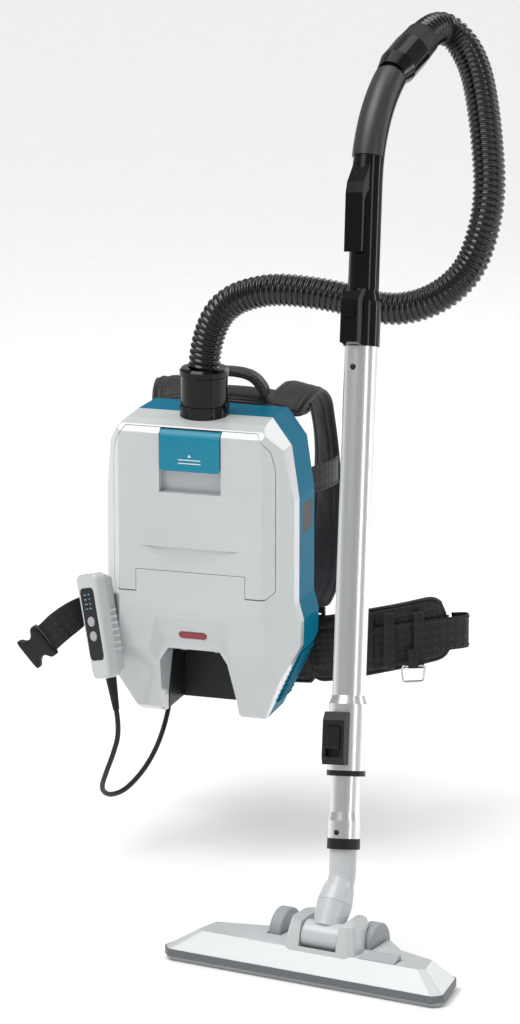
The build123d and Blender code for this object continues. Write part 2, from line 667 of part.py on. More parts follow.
# ---- handle -------------------------------------------------------------------------------
HANDLE_BORE = 15.5
HOOK_PROFILE = [(-12, 742), (-27, 718), (-29.5, 706), (-28.5, 642)]  # (back, up) along the wand
HOOK_PROFILE += [(-24.5, 642), (-24.5, 698), (-19, 708), (-12, 712)]
with BuildPart() as handle:
    with BuildLine(WAND_SIDE) as handle_path:
        Line((0, 596), (0, BEND_START))
        bend = CenterArc((BEND_R, BEND_START), BEND_R, 180, -BEND_DEG)
        Line(bend @ 1, (bend @ 1) + (bend % 1) * 22)
    with BuildSketch(WAND.offset(596)):
        Circle(HANDLE_R)
    sweep(path=handle_path.wires()[0])
    with BuildSketch(WAND.offset(541)):
        Circle(OUTER_R + 2)
    extrude(amount=49)
    with BuildSketch(WAND.offset(590)):
        Circle(OUTER_R + 2)
    with BuildSketch(WAND.offset(602)):
        Circle(HANDLE_R)
    loft()
    with BuildSketch(SOCKET.offset(-34)):
        Circle(HANDLE_R)
    with BuildSketch(SOCKET.offset(-16)):
        Circle(21.4)
    with BuildSketch(SOCKET.offset(22)):
        Circle(21.6)
    loft(ruled=True)
    with BuildSketch(WAND_SIDE):
        Polygon(*HOOK_PROFILE, align=None)
    extrude(amount=10.5, both=True)
    with BuildSketch(WAND_SIDE):
        Polygon((-12, 606), (-24, 600), (-31, 590), (-31, 544), (-17, 541), (-12, 541), align=None)
    extrude(amount=10.5, both=True)
    with BuildLine(WAND_SIDE) as bore_path:
        Line((0, 580), (0, BEND_START))
        bore_bend = CenterArc((BEND_R, BEND_START), BEND_R, 180, -BEND_DEG)
        Line(bore_bend @ 1, (bore_bend @ 1) + (bore_bend % 1) * 30)
    with BuildSketch(WAND.offset(580)):
        Circle(HANDLE_BORE)
    sweep(path=bore_path.wires()[0], mode=Mode.SUBTRACT)
    with BuildSketch(WAND.offset(530)):
        Circle(OUTER_R)
    extrude(amount=60, mode=Mode.SUBTRACT)
    with BuildSketch(Plane(origin=WAND.from_local_coords((0, -26, 576)), x_dir=SIDE_X, z_dir=-WAND.y_dir)):
        RectangleRounded(14.4, 12.4, 2.2)
    extrude(amount=8, mode=Mode.SUBTRACT)
save(handle, "handle")

with BuildPart() as wand_lock_button:
    with BuildSketch(Plane(origin=WAND.from_local_coords((0, -28.2, 576)), x_dir=SIDE_X, z_dir=-WAND.y_dir)):
        RectangleRounded(13.6, 11.6, 1.8)
    extrude(amount=3.6)
save(wand_lock_button, "wand_lock_button")

GRIP_SPAN = 34.0
with BuildPart() as handle_grip:
    with BuildLine(WAND_SIDE) as grip_path:
        CenterArc((BEND_R, BEND_START), BEND_R, 171, -GRIP_SPAN)
    with BuildSketch(Plane(origin=grip_path.line @ 0, x_dir=SIDE_X, z_dir=grip_path.line % 0)):
        Circle(HANDLE_R + 1.8)
        Circle(HANDLE_R + 0.02, mode=Mode.SUBTRACT)
        with Locations((0, 17)):
            Rectangle(60, 40, mode=Mode.SUBTRACT)
    sweep()
save(handle_grip, "handle_grip")

# ---- telescopic wand ----------------------------------------------------------------------
def turned(profile):
    """A ring turned about the wand's axis from a (radius, height along the wand) outline."""
    with BuildPart() as ring:
        with BuildSketch(Plane(origin=WAND_FOOT, x_dir=SIDE_X, z_dir=-WAND.y_dir)):
            Polygon(*profile, align=None)
        revolve(axis=Axis(WAND_FOOT, WAND_UP))
    return ring


OUTER_PROFILE = [(OUTER_R, 590), (OUTER_R, 163), (SLEEVE_R, 154), (SLEEVE_R, 82), (19.6, 82), (19.6, 152)]
OUTER_PROFILE += [(17, 160), (17, 590)]
save(turned(OUTER_PROFILE), "outer_tube")

with BuildPart() as slide_housing:
    add(turned([(19.5, 82), (19.5, 140), (16.9, 140), (16.9, 76), (SLEEVE_R, 76), (SLEEVE_R, 82)]))
    with BuildSketch(WAND_SIDE):
        Polygon((-SLEEVE_R, 88), (-31, 88), (-33, 96), (-33, 136), (-29, 145), (-SLEEVE_R, 145), align=None)
    extrude(amount=13.2, both=True)
    with BuildSketch(WAND.offset(80)):
        Circle(SLEEVE_R)
    extrude(amount=70, mode=Mode.SUBTRACT)
    add(turned([(19.5, 82), (19.5, 140), (16.9, 140), (16.9, 76), (SLEEVE_R, 76), (SLEEVE_R, 82)]))
    with BuildSketch(Plane(origin=WAND.from_local_coords((0, -27, 113)), x_dir=SIDE_X, z_dir=-WAND.y_dir)):
        RectangleRounded(18, 34, 3)
    extrude(amount=20, mode=Mode.SUBTRACT)
save(slide_housing, "slide_housing")

with BuildPart() as telescope_button:
    with BuildSketch(Plane(origin=WAND.from_local_coords((0, -27.3, 117)), x_dir=SIDE_X, z_dir=-WAND.y_dir)):
        RectangleRounded(17, 24, 2.5)
    extrude(amount=7.5)
    with BuildSketch(Plane(origin=WAND.from_local_coords((0, -34.8, 117)), x_dir=SIDE_X, z_dir=-WAND.y_dir)):
        with GridLocations(1, 5, 1, 4):
            Rectangle(13, 1.6)
    extrude(amount=0.8)
save(telescope_button, "telescope_button")

INNER_PROFILE = [(INNER_R, 400), (INNER_R, 37), (17.6, 28), (17.6, 8.6), (15.2, 8.6), (15.2, 400)]
save(turned(INNER_PROFILE), "inner_tube")
save(turned([(17.9, 8.6), (17.9, -3), (14.7, -3), (14.7, 8.6)]), "inner_collar")

# ---- elbow and neck -----------------------------------------------------------------------
ELBOW_R = 14.7
ELBOW_TURN_S = -28.0
SEAM_POINT = Vector(261.3, -436, -299.7)
NECK_DIR = (WAND.from_local_coords((0, 0, ELBOW_TURN_S - 6)) - SEAM_POINT).normalized()
NECK_R = 19.5
PIVOT = SEAM_POINT - NECK_DIR * 37
with BuildPart() as elbow:
    with BuildLine() as elbow_path:
        FilletPolyline(
            tuple(WAND.from_local_coords((0, 0, -3))),
            tuple(WAND.from_local_coords((0, 0, ELBOW_TURN_S - 6))),
            tuple(SEAM_POINT + NECK_DIR * 0.2),
            radius=24,
        )
    with BuildSketch(WAND.offset(-3)):
        Circle(ELBOW_R)
    sweep()
    neck_end = Plane(origin=SEAM_POINT + NECK_DIR * 0.2, z_dir=NECK_DIR)
    with BuildSketch(neck_end):
        Circle(NECK_R)
    with BuildSketch(neck_end.offset(17)):
        Circle(ELBOW_R + 2.4)
    with BuildSketch(neck_end.offset(25)):
        Circle(ELBOW_R)
    loft(ruled=True)
save(elbow, "elbow")

NECK = Plane(origin=PIVOT, x_dir=HEAD.x_dir, z_dir=NECK_DIR)
BARREL_R, BARREL_HALF = 16.0, 21.5
with BuildPart() as neck:
    with BuildSketch(NECK.offset(8)):
        Circle(NECK_R - 2.5)
    with BuildSketch(NECK.offset(36.9)):
        Circle(NECK_R)
    loft()
    with BuildSketch(Plane(origin=PIVOT - HEAD.x_dir * BARREL_HALF, x_dir=(0, 0, 1), z_dir=HEAD.x_dir)):
        Circle(BARREL_R)
    extrude(amount=2 * BARREL_HALF)
save(neck, "neck")

# ---- floor head ---------------------------------------------------------------------------
PIVOT_LOCAL = HEAD.to_local_coords(PIVOT)
print("pivot in the head's frame", PIVOT_LOCAL)
HEAD_HALF = [(HEAD_LENGTH / 2, 0), (HEAD_LENGTH / 2 + 8, 9), (156, 64), (80, 88), (74, 109)]
COVER_HALF = [(130, 24), (137, 29), (131, 58), (72, 74), (66, 92)]  # edge of the flat top
SOLE_H, BUMPER_H, COVER_H = 4.5, 12.5, 30.0
WHEEL_R, WHEEL_V, WHEEL_H, WHEEL_W = 25.5, 78.0, 27.0, 15.0
WHEEL_U = {"wheel_right": 51.4, "wheel_left": -56.8}
AXLE_R = 2.5
HUMP_U, HUMP_HALF = PIVOT_LOCAL.X, 47.0
MOUTH = (262, 16, 22)  # length, depth and distance from the front edge
BRUSH_V = 35.5


def plan_sketch(inset):
    """The head's outline, moved inwards by inset."""
    Polygon(*mirrored(HEAD_HALF), align=None)
    fillet(vertices(), radius=6)
    offset(amount=-inset)


with BuildPart() as wheel_wells:
    for across in WHEEL_U.values():
        with BuildSketch(head_section(across)):
            with Locations((WHEEL_V, WHEEL_H)):
                Circle(WHEEL_R + 1.6)
            with Locations((WHEEL_V, 5)):
                Rectangle(2 * WHEEL_R + 3.2, 38)
        extrude(amount=WHEEL_W / 2 + 1.5, both=True)

with BuildPart() as bumper:
    with BuildSketch(HEAD.offset(SOLE_H)):
        plan_sketch(-1.5)
    extrude(amount=BUMPER_H - SOLE_H)
    with BuildSketch(HEAD.offset(SOLE_H)):
        plan_sketch(3)
    extrude(amount=BUMPER_H - SOLE_H, mode=Mode.SUBTRACT)
    add(wheel_wells.part, mode=Mode.SUBTRACT)
save(bumper, "bumper")

PEDAL_U, PEDAL_V, PEDAL_H = 81.0, 34.0, 27.0
with BuildPart() as head_cover:
    with BuildSketch(HEAD.offset(BUMPER_H)):
        plan_sketch(0)
    with BuildSketch(HEAD.offset(COVER_H)):
        Polygon(*mirrored(COVER_HALF), align=None)
        fillet(vertices(), radius=3)
    loft()
    with BuildSketch(HEAD.offset(BUMPER_H + 1)):
        with Locations((HUMP_U, 54)):
            RectangleRounded(2 * HUMP_HALF, 74, 12)
    with BuildSketch(HEAD.offset(PIVOT_LOCAL.Z + 18)):
        with Locations((HUMP_U, PIVOT_LOCAL.Y + 10)):
            RectangleRounded(2 * HUMP_HALF - 18, 46, 12)
    loft()
    with BuildSketch(HEAD.offset(BUMPER_H - 0.01)):
        plan_sketch(3)
    with BuildSketch(HEAD.offset(COVER_H - 3)):
        Polygon(*mirrored(COVER_HALF), align=None)
        fillet(vertices(), radius=3)
        offset(amount=-3)
    loft(mode=Mode.SUBTRACT)
    with BuildSketch(head_section(HUMP_U)):
        with Locations((PIVOT_LOCAL.Y, PIVOT_LOCAL.Z)):
            Circle(22)
        slot_foot = (PIVOT_LOCAL.Y + 14, 25)
        Polygon((8, 70), (PIVOT_LOCAL.Y, 34), slot_foot, (120, 25), (120, 90), (8, 90), align=None)
    extrude(amount=22.5, both=True, mode=Mode.SUBTRACT)
    add(wheel_wells.part, mode=Mode.SUBTRACT)
    with BuildSketch(HEAD.offset(PEDAL_H - 6)):
        with Locations((PEDAL_U, PEDAL_V)):
            Rectangle(43, 19)
    extrude(amount=40, mode=Mode.SUBTRACT)
    with BuildSketch(head_section(-72)):
        with Locations((WHEEL_V, WHEEL_H)):
            Circle(AXLE_R)
    extrude(amount=140, mode=Mode.SUBTRACT)
save(head_cover, "head_cover")

with BuildPart() as head_base:
    with BuildSketch(HEAD):
        plan_sketch(1.5)
    extrude(amount=SOLE_H)
    with BuildSketch(HEAD.offset(3)):
        plan_sketch(5)
    extrude(amount=20, mode=Mode.SUBTRACT)
    with BuildSketch(HEAD):
        with Locations((0, MOUTH[2])):
            Rectangle(MOUTH[0], MOUTH[1])
        with Locations((0, BRUSH_V)):
            Rectangle(200, 5)
    extrude(amount=10, mode=Mode.SUBTRACT)
    add(wheel_wells.part, mode=Mode.SUBTRACT)
save(head_base, "head_base")

with BuildPart() as brush_strip:
    with BuildSketch(HEAD.offset(1)):
        with Locations((0, BRUSH_V)):
            Rectangle(198, 3.6)
    extrude(amount=14)
save(brush_strip, "brush_strip")

with BuildPart() as axle:
    with BuildSketch(head_section(-68)):
        with Locations((WHEEL_V, WHEEL_H)):
            Circle(AXLE_R)
    extrude(amount=128)
save(axle, "axle")

for name, across in WHEEL_U.items():
    with BuildPart() as wheel:
        with BuildSketch(head_section(across)):
            with Locations((WHEEL_V, WHEEL_H)):
                Circle(WHEEL_R)
                Circle(AXLE_R + 0.05, mode=Mode.SUBTRACT)
        extrude(amount=WHEEL_W / 2, both=True)
        rims = wheel.edges().filter_by(GeomType.CIRCLE).sort_by(SortBy.RADIUS)[-2:]
        fillet(rims, radius=2)
    save(wheel, name)

PEDAL_PROFILE = [(-8.5, 26), (-8.5, 30), (-2, 33), (4, 36), (8.5, 35), (8.5, 26)]
with BuildPart() as pedal:
    with BuildSketch(head_section(PEDAL_U)):
        Polygon(*[(PEDAL_V + v, height) for v, height in PEDAL_PROFILE], align=None)
        with Locations((PEDAL_V + 6.5, 27)):
            Circle(2.2)
    extrude(amount=20.5, both=True)
save(pedal, "pedal")
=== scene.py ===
"""Looks of the backpack vacuum cleaner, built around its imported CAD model.

Metres, in the CAD frame: the pack's front faces -Y, +Z is up, and the origin is the middle of the
back pad's face. The cells are read from top to bottom, as in a notebook.
"""

import json
from math import cos, pi, radians, sin

import bmesh
import bpy
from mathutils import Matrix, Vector


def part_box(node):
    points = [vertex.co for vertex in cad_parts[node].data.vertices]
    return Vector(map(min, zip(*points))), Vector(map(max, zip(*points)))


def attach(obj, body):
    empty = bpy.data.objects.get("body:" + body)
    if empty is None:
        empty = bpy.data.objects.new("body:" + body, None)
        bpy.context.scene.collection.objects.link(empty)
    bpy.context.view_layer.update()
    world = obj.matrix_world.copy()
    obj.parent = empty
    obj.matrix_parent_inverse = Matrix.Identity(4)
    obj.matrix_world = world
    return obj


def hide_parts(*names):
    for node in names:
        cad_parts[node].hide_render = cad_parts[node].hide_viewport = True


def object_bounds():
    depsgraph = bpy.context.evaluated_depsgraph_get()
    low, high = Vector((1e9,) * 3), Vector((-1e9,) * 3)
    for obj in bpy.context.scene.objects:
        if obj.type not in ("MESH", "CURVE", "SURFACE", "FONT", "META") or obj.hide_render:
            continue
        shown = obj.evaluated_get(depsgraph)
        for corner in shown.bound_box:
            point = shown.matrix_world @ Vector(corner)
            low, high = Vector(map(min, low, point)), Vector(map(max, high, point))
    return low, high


# %% [markdown]
# ## The frame
# Every rigid part already exists as a CAD solid with exact curves and a joint. They could be
# modelled again by hand, but then lid, latch and wand would no longer fit each other, so the solids
# stay and only their finish changes. What is sewn, corrugated or bristly is made here.

# %% Load the CAD model and note its box
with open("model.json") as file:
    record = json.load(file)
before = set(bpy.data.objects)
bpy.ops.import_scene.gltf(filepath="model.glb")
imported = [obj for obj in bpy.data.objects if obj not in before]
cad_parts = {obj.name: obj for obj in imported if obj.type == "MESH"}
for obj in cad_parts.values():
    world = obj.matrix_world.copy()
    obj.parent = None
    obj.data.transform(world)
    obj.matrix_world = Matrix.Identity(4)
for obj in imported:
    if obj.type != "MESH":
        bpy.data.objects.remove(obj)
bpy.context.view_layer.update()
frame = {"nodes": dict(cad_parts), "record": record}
MM = 0.001


def mm(*values):
    """A point or a size given in millimetres."""
    return Vector(values) * MM


# %% [markdown]
# ## Camera
# A product like this is shown from slightly above and from its right, with a long lens so that the
# wand stays straight. The camera looks 14 degrees down and stands 18 degrees to the right.

# %% Camera
CAMERA_PLACE = (1.5588, -4.6893, 1.2446)
LENS = 152.9

camera = bpy.data.objects.new("camera", bpy.data.cameras.new("camera"))
camera.location = CAMERA_PLACE
camera.rotation_euler = (radians(76), 0, radians(18))
camera.data.lens = LENS
bpy.context.scene.collection.objects.link(camera)
bpy.context.scene.camera = camera
print("camera at", CAMERA_PLACE)

# %% [markdown]
# ## Helpers for meshes and routes
# A finished piece is one mesh at the origin, with its place in its vertices. The routes of the cord
# and the hose are NURBS curves: their control points are those of the CAD tubes, and the curve
# rounds them the way a flexible hose does.

# %% Finish a piece, and make a route
def piece(name, verts, faces, body, material, uvs=None, smooth=True):
    """A mesh object from lists, riding on a body."""
    mesh = bpy.data.meshes.new(name)
    mesh.from_pydata([tuple(v) for v in verts], [], faces)
    if uvs:
        layer = mesh.uv_layers.new(name="UVMap")
        for loop in mesh.loops:
            layer.data[loop.index].uv = uvs[loop.vertex_index]
    return adopt(bpy.data.objects.new(name, mesh), body, material, smooth)


def adopt(thing, body, material, smooth=True):
    """Links an object, gives it its finish and hangs it on a body."""
    if thing.name not in bpy.context.scene.collection.all_objects:
        bpy.context.scene.collection.objects.link(thing)
    thing.data.materials.clear()
    thing.data.materials.append(material)
    if smooth and thing.type == "MESH":
        thing.data.shade_smooth()
    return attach(thing, body)


def nurbs(name, points, bevel=0.0):
    """An open NURBS curve of order 3 through the run of its control points, in millimetres."""
    curve = bpy.data.curves.new(name, "CURVE")
    curve.dimensions = "3D"
    curve.resolution_u = 12
    spline = curve.splines.new("NURBS")
    spline.points.add(len(points) - 1)
    for control, point in zip(spline.points, points):
        control.co = (*mm(*point), 1.0)
    spline.order_u = 3
    spline.use_endpoint_u = True
    curve.bevel_depth = bevel
    curve.bevel_resolution = 5
    curve.use_fill_caps = bevel > 0
    return bpy.data.objects.new(name, curve)


def line_of(curve_object):
    """Points read from a curve that has no bevel."""
    bpy.context.scene.collection.objects.link(curve_object)
    bpy.context.view_layer.update()
    mesh = bpy.data.meshes.new_from_object(
        curve_object.evaluated_get(bpy.context.evaluated_depsgraph_get())
    )
    points = [v.co.copy() for v in mesh.vertices]
    bpy.data.meshes.remove(mesh)
    bpy.data.objects.remove(curve_object)
    return points


def plain(thing):
    """Applies an object's modifiers: the evaluated shape becomes its own mesh."""
    bpy.context.view_layer.update()
    mesh = bpy.data.meshes.new_from_object(thing.evaluated_get(bpy.context.evaluated_depsgraph_get()))
    thing.modifiers.clear()
    thing.data = mesh
    return thing


def outwards(thing):
    """Turns a closed mesh's faces outwards."""
    form = bmesh.new()
    form.from_mesh(thing.data)
    bmesh.ops.recalc_face_normals(form, faces=form.faces)
    form.to_mesh(thing.data)
    form.free()


# %% [markdown]
# ## Finishes
# Each finish starts from the real one. A moulded plastic is never one flat colour: a mould's texture
# gives a fine grain, flow gives a faint cloud in the colour, and the gloss varies with handling. Those
# three are noise patterns, at sizes in millimetres, on the piece's own Object coordinates.

# %% Colour and node helpers
def linear(code):
    """Linear colour of an sRGB hex value."""
    parts = [int(code[i : i + 2], 16) / 255 for i in (1, 3, 5)]
    return (*[p / 12.92 if p <= 0.04045 else ((p + 0.055) / 1.055) ** 2.4 for p in parts], 1.0)


def add(tree, kind, settings=None, **inputs):
    """Adds a node. Settings go on the node; inputs are values or the sockets that feed them."""
    node = tree.nodes.new(kind)
    for name, value in (settings or {}).items():
        setattr(node, name, value)
    for name, value in inputs.items():
        key = int(name[1:]) if name[0] == "i" and name[1:].isdigit() else name.replace("_", " ")
        if isinstance(value, bpy.types.NodeSocket):
            tree.links.new(value, node.inputs[key])
        else:
            node.inputs[key].default_value = value
    return node


def shader(name, roughness, **fixed):
    """A new material: its tree and its Principled node, whose even values are set on its sockets."""
    material = bpy.data.materials.new(name)
    material.use_nodes = True
    node = material.node_tree.nodes["Principled BSDF"]
    node.inputs["Roughness"].default_value = roughness
    for key, value in fixed.items():
        node.inputs[key.replace("_", " ")].default_value = value
    return material, material.node_tree, node


def feed(tree, node, colour, bump=None, roughness=None):
    """Links what the patterns made into the Principled node."""
    tree.links.new(colour, node.inputs["Base Color"])
    if bump is not None:
        tree.links.new(bump, node.inputs["Normal"])
    if roughness is not None:
        tree.links.new(roughness, node.inputs["Roughness"])


# %% Moulded plastics and rubbers
def moulded(name, dark, light, roughness, grain_mm=0.7, grain=0.06, cloud_mm=60, **fixed):
    """Moulded plastic: a faint cloud between two tones, a mould grain, and handled gloss."""
    material, tree, node = shader(name, roughness, **fixed)
    place = add(tree, "ShaderNodeTexCoord").outputs["Object"]
    cloud = add(tree, "ShaderNodeTexNoise", Vector=place, Scale=1000 / cloud_mm, Detail=3.0)
    colour = add(tree, "ShaderNodeMix", {"data_type": "RGBA"}, Factor=cloud.outputs["Fac"])
    colour.inputs["A"].default_value = linear(dark)
    colour.inputs["B"].default_value = linear(light)
    fine = add(tree, "ShaderNodeTexNoise", Vector=place, Scale=1000 / grain_mm, Detail=2.0)
    bump = add(tree, "ShaderNodeBump", Strength=grain, Distance=0.0004, Height=fine.outputs["Fac"])
    gloss = add(tree, "ShaderNodeMapRange", Value=cloud.outputs["Fac"])
    gloss.inputs["To Min"].default_value = roughness * 0.85
    gloss.inputs["To Max"].default_value = roughness * 1.15
    feed(tree, node, colour.outputs["Result"], bump.outputs["Normal"], gloss.outputs["Result"])
    return material


FINISH = {
    # Glossy cool-white ABS: broad soft highlights on the facets.
    "housing_white": moulded("moulded_white_abs", "#C3C7C8", "#CCCFD0", 0.2, grain=0.03, Coat_Weight=0.6, Coat_Roughness=0.06),
    # Teal ABS with a satin mould texture.
    "housing_teal": moulded("moulded_teal_abs", "#006683", "#006F8D", 0.42, grain=0.12, Specular_IOR_Level=0.05),
    "latch_teal": moulded("moulded_latch_abs", "#14809B", "#1B89A4", 0.3, grain=0.1, Specular_IOR_Level=0.3),
    # Black gloss plastic: dark with crisp highlights.
    "black_gloss": moulded("polished_black_abs", "#040405", "#08080A", 0.12, grain=0.02, Specular_IOR_Level=0.3),
    "black_satin": moulded("satin_black_nylon", "#0F1011", "#17181A", 0.42, grain=0.2, Specular_IOR_Level=0.35),
    "grey_grip": moulded("soft_touch_elastomer", "#2A2B2D", "#333538", 0.36, grain=0.15),
    "rubber_black": moulded("matt_black_rubber", "#0C0C0D", "#131314", 0.5, grain=0.25, Specular_IOR_Level=0.35),
    # PVC jacket of the cord: satin, with a faint fine grain.
    "cord_black": moulded("extruded_pvc", "#0E0E0F", "#151517", 0.4, grain=0.1),
    "head_white": moulded("polished_white_abs", "#BEC1C2", "#C7CACB", 0.17, Coat_Weight=0.35, Coat_Roughness=0.08),
    "head_grey": moulded("satin_grey_tpe", "#5E6164", "#696C6F", 0.5, grain=0.15),
    "wheel_grey": moulded("grey_elastomer", "#8E9499", "#9AA0A5", 0.55, grain=0.2),
    "pedal_grey": moulded("satin_grey_abs", "#9FA2A5", "#A9ACAF", 0.4, grain=0.12),
    # Milky polycarbonate: light goes a little way in, so edges look soft.
    "elbow_clear": moulded(
        "milky_polycarbonate", "#B9BCBE", "#C6C9CB", 0.22, grain=0.02, Subsurface_Weight=0.3,
        Subsurface_Scale=0.004,
    ),
    "sole_clear": moulded("frosted_polycarbonate", "#BFC3C5", "#CBCFD1", 0.3, Transmission_Weight=0.3),
    "panel_dark": moulded("smoked_label_film", "#08090D", "#0D0F14", 0.16, grain=0.02, Specular_IOR_Level=0.15),
    "copper_board": moulded("green_circuit_board", "#0C4A2A", "#136B3D", 0.35, cloud_mm=6),
    "filter": moulded("pleated_fibre", "#DAD8CF", "#EDEBE4", 0.9, grain_mm=1.2, grain=0.6),
    "bag_paper": moulded("fleece_bag_cloth", "#BDB39C", "#D0C6AF", 0.95, grain_mm=1.5, grain=0.7, cloud_mm=14),
    "brush": moulded("nylon_bristle", "#1E1F22", "#33353A", 0.5, cloud_mm=2),
}
print("moulded finishes:", len(FINISH))

# %% [markdown]
# ## Metals
# The wand is an extruded aluminium tube, brushed along its length and anodised: fine streaks run
# along the tube, and the highlight spreads across them. The streaks are noise stretched a hundredfold
# along the wand's axis. A metal keeps the default IOR.

# %% Brushed and bright metals
WAND_UP = Vector((-0.0504, 0.2734, 0.9606)).normalized()
STREAK_MM = 0.8  # coarser than real brushing


def metal(name, tone, roughness, streak=0.0, along=None):
    """A metal with optional streaks along a direction."""
    material, tree, node = shader(name, roughness, Metallic=1.0)
    place = add(tree, "ShaderNodeTexCoord").outputs["Object"]
    if along is not None:
        turn = along.to_track_quat("Z", "Y").inverted().to_euler()
        place = add(tree, "ShaderNodeMapping", Vector=place, Rotation=tuple(turn)).outputs["Vector"]
        place = add(tree, "ShaderNodeMapping", Vector=place, Scale=(1, 1, 0.01)).outputs["Vector"]
    lines = add(tree, "ShaderNodeTexNoise", Vector=place, Scale=1000 / STREAK_MM, Detail=3.0)
    ramp = add(tree, "ShaderNodeMapRange", Value=lines.outputs["Fac"])
    ramp.inputs["To Min"].default_value = roughness * (1 - streak)
    ramp.inputs["To Max"].default_value = roughness * (1 + streak)
    colour = add(tree, "ShaderNodeMix", {"data_type": "RGBA"}, Factor=lines.outputs["Fac"])
    colour.inputs["A"].default_value = linear(tone)
    colour.inputs["B"].default_value = [min(1, c * 1.08) for c in linear(tone)[:3]] + [1]
    bump = add(tree, "ShaderNodeBump", Strength=0.015, Distance=0.0001, Height=lines.outputs["Fac"])
    feed(tree, node, colour.outputs["Result"], bump.outputs["Normal"], ramp.outputs["Result"])
    return material


FINISH["tube_aluminium"] = metal("brushed_anodised_aluminium", "#E2E4E5", 0.28, 0.05, WAND_UP)
FINISH["steel"] = metal("zinc_plated_steel", "#9A9B9E", 0.32, 0.2)
FINISH["chrome"] = metal("polished_chrome_wire", "#BDBFC2", 0.12, 0.1)

# %% [markdown]
# ## Fabrics
# The pads are a satin nylon over foam and the straps are woven polyester. Both are thread laid over
# thread, so two wave patterns cross on the piece's UV map, which runs along the strap in metres. A
# real thread is 0.4 mm wide. Here the pattern repeats every 7.5 mm on pads and 10 mm on tapes, far
# coarser than any thread. A wave texture repeats every 2 pi / 20 of its scaled coordinate. Sheen gives
# the pale rim that cloth has at a glancing angle.

# %% Woven and mesh cloth
WAVE_REPEAT = 2 * pi / 20
PAD_REPEAT_MM, TAPE_REPEAT_MM, MESH_CELL_MM = 2 * pi * 1.2, 2 * pi * 1.6, 2.6


def cloth(name, dark, light, repeat_mm, roughness, depth, mesh_holes=False):
    """A weave on the UV map: crossing threads, or a mesh of small holes."""
    material, tree, node = shader(
        name, roughness, Sheen_Weight=0.12, Sheen_Roughness=0.4, Specular_IOR_Level=0.35
    )
    place = add(tree, "ShaderNodeTexCoord").outputs["UV"]
    if mesh_holes:
        cells = add(tree, "ShaderNodeTexVoronoi", Vector=place, Scale=1000 / repeat_mm, Randomness=0.12)
        height = cells.outputs["Distance"]
        factor = add(tree, "ShaderNodeMapRange", Value=height).outputs["Result"]
    else:
        waves = []
        for direction in ("X", "Y"):
            waves.append(
                add(
                    tree, "ShaderNodeTexWave", {"bands_direction": direction},
                    Vector=place, Scale=WAVE_REPEAT * 1000 / repeat_mm, Distortion=0.3, Detail=1.0,
                ).outputs["Fac"]
            )
        height = add(
            tree, "ShaderNodeMath", {"operation": "MULTIPLY"}, i0=waves[0], i1=waves[1]
        ).outputs[0]
        factor = height
    soft = add(tree, "ShaderNodeTexNoise", Vector=place, Scale=40.0, Detail=4.0)
    both = add(tree, "ShaderNodeMath", {"operation": "MULTIPLY"}, i0=factor, i1=soft.outputs["Fac"])
    colour = add(tree, "ShaderNodeMix", {"data_type": "RGBA"}, Factor=both.outputs[0])
    colour.inputs["A"].default_value = linear(dark)
    colour.inputs["B"].default_value = linear(light)
    bump = add(tree, "ShaderNodeBump", Strength=depth, Distance=0.0006, Height=height)
    feed(tree, node, colour.outputs["Result"], bump.outputs["Normal"])
    return material


FINISH["pad_fabric"] = cloth("satin_nylon_over_foam", "#141517", "#2E3033", PAD_REPEAT_MM, 0.5, 0.4)
FINISH["webbing"] = cloth("woven_polyester_webbing", "#101113", "#2B2C2F", TAPE_REPEAT_MM, 0.6, 0.8)
MESH_CLOTH = cloth("spacer_mesh", "#3C3E42", "#0C0C0E", MESH_CELL_MM, 0.7, 0.7, mesh_holes=True)
PIPING = moulded("coated_piping", "#1B1C1E", "#26272A", 0.38, grain=0.2)
THREAD = moulded("bonded_nylon_thread", "#3A3C40", "#4A4C50", 0.5, grain=0.1)
SMOKE = moulded("smoked_pvc_hose", "#050607", "#111315", 0.12, grain=0.05, cloud_mm=25)
FINISH["hose_black"] = SMOKE
print("finishes:", sorted(FINISH))

# %% [markdown]
# ## The remote's cord
# It leaves the remote downwards, hangs in one loop and goes back up into the pack behind the left
# foot. The cord is a curve on the route's control points, with a round section.

# %% Remote cord
CORD_ROUTE = [(-84.3, -168.25, -188.9), (-78.8, -172.2, -213.0), (-86, -176, -241), (-96, -175, -266),
              (-106, -163, -288), (-103, -146, -301), (-92, -126, -301), (-82, -104, -290),
              (-74, -80, -274), (-69, -56, -252), (-66.5, -36, -224), (-66, -27, -194), (-66, -27, -162)]
CORD_R = 3.0

cord = adopt(nurbs("remote_lead", CORD_ROUTE, CORD_R * MM), "pack", FINISH["cord_black"])
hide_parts("remote_cord")

# %% [markdown]
# ## The hose
# A stretch-free vacuum hose is a spiral of stiff plastic with a thinner web between its turns. A
# displacement map would only fake the outline, and thousands of instanced rings would not be a
# spiral. Geometry Nodes sweep a circle along the route and push each point out or in by a wave whose
# phase grows with the distance along the hose and with the angle round it: that is a helix.

# %% Hose: a helical wave on a swept circle
HOSE_ROUTE = [(0, -97, 206), (1, -97, 234), (22, -97, 281), (72, -97, 301), (123, -97, 301),
              (172, -97, 295), (221, -97, 284), (271, -97, 298), (309, -94, 331), (325, -90, 376),
              (329, -78, 422), (321, -61, 467), (309, -38, 511), (293, -12, 549), (272, 6, 576),
              (252, 1, 593), (243.7, -32.8, 592), (240.1, -57.0, 583.2)]
HOSE_R, RIB_PITCH, RIB_DEPTH = 17.4, 6.7, 1.1
STEPS_PER_RIB, ROUND_STEPS = 8, 28


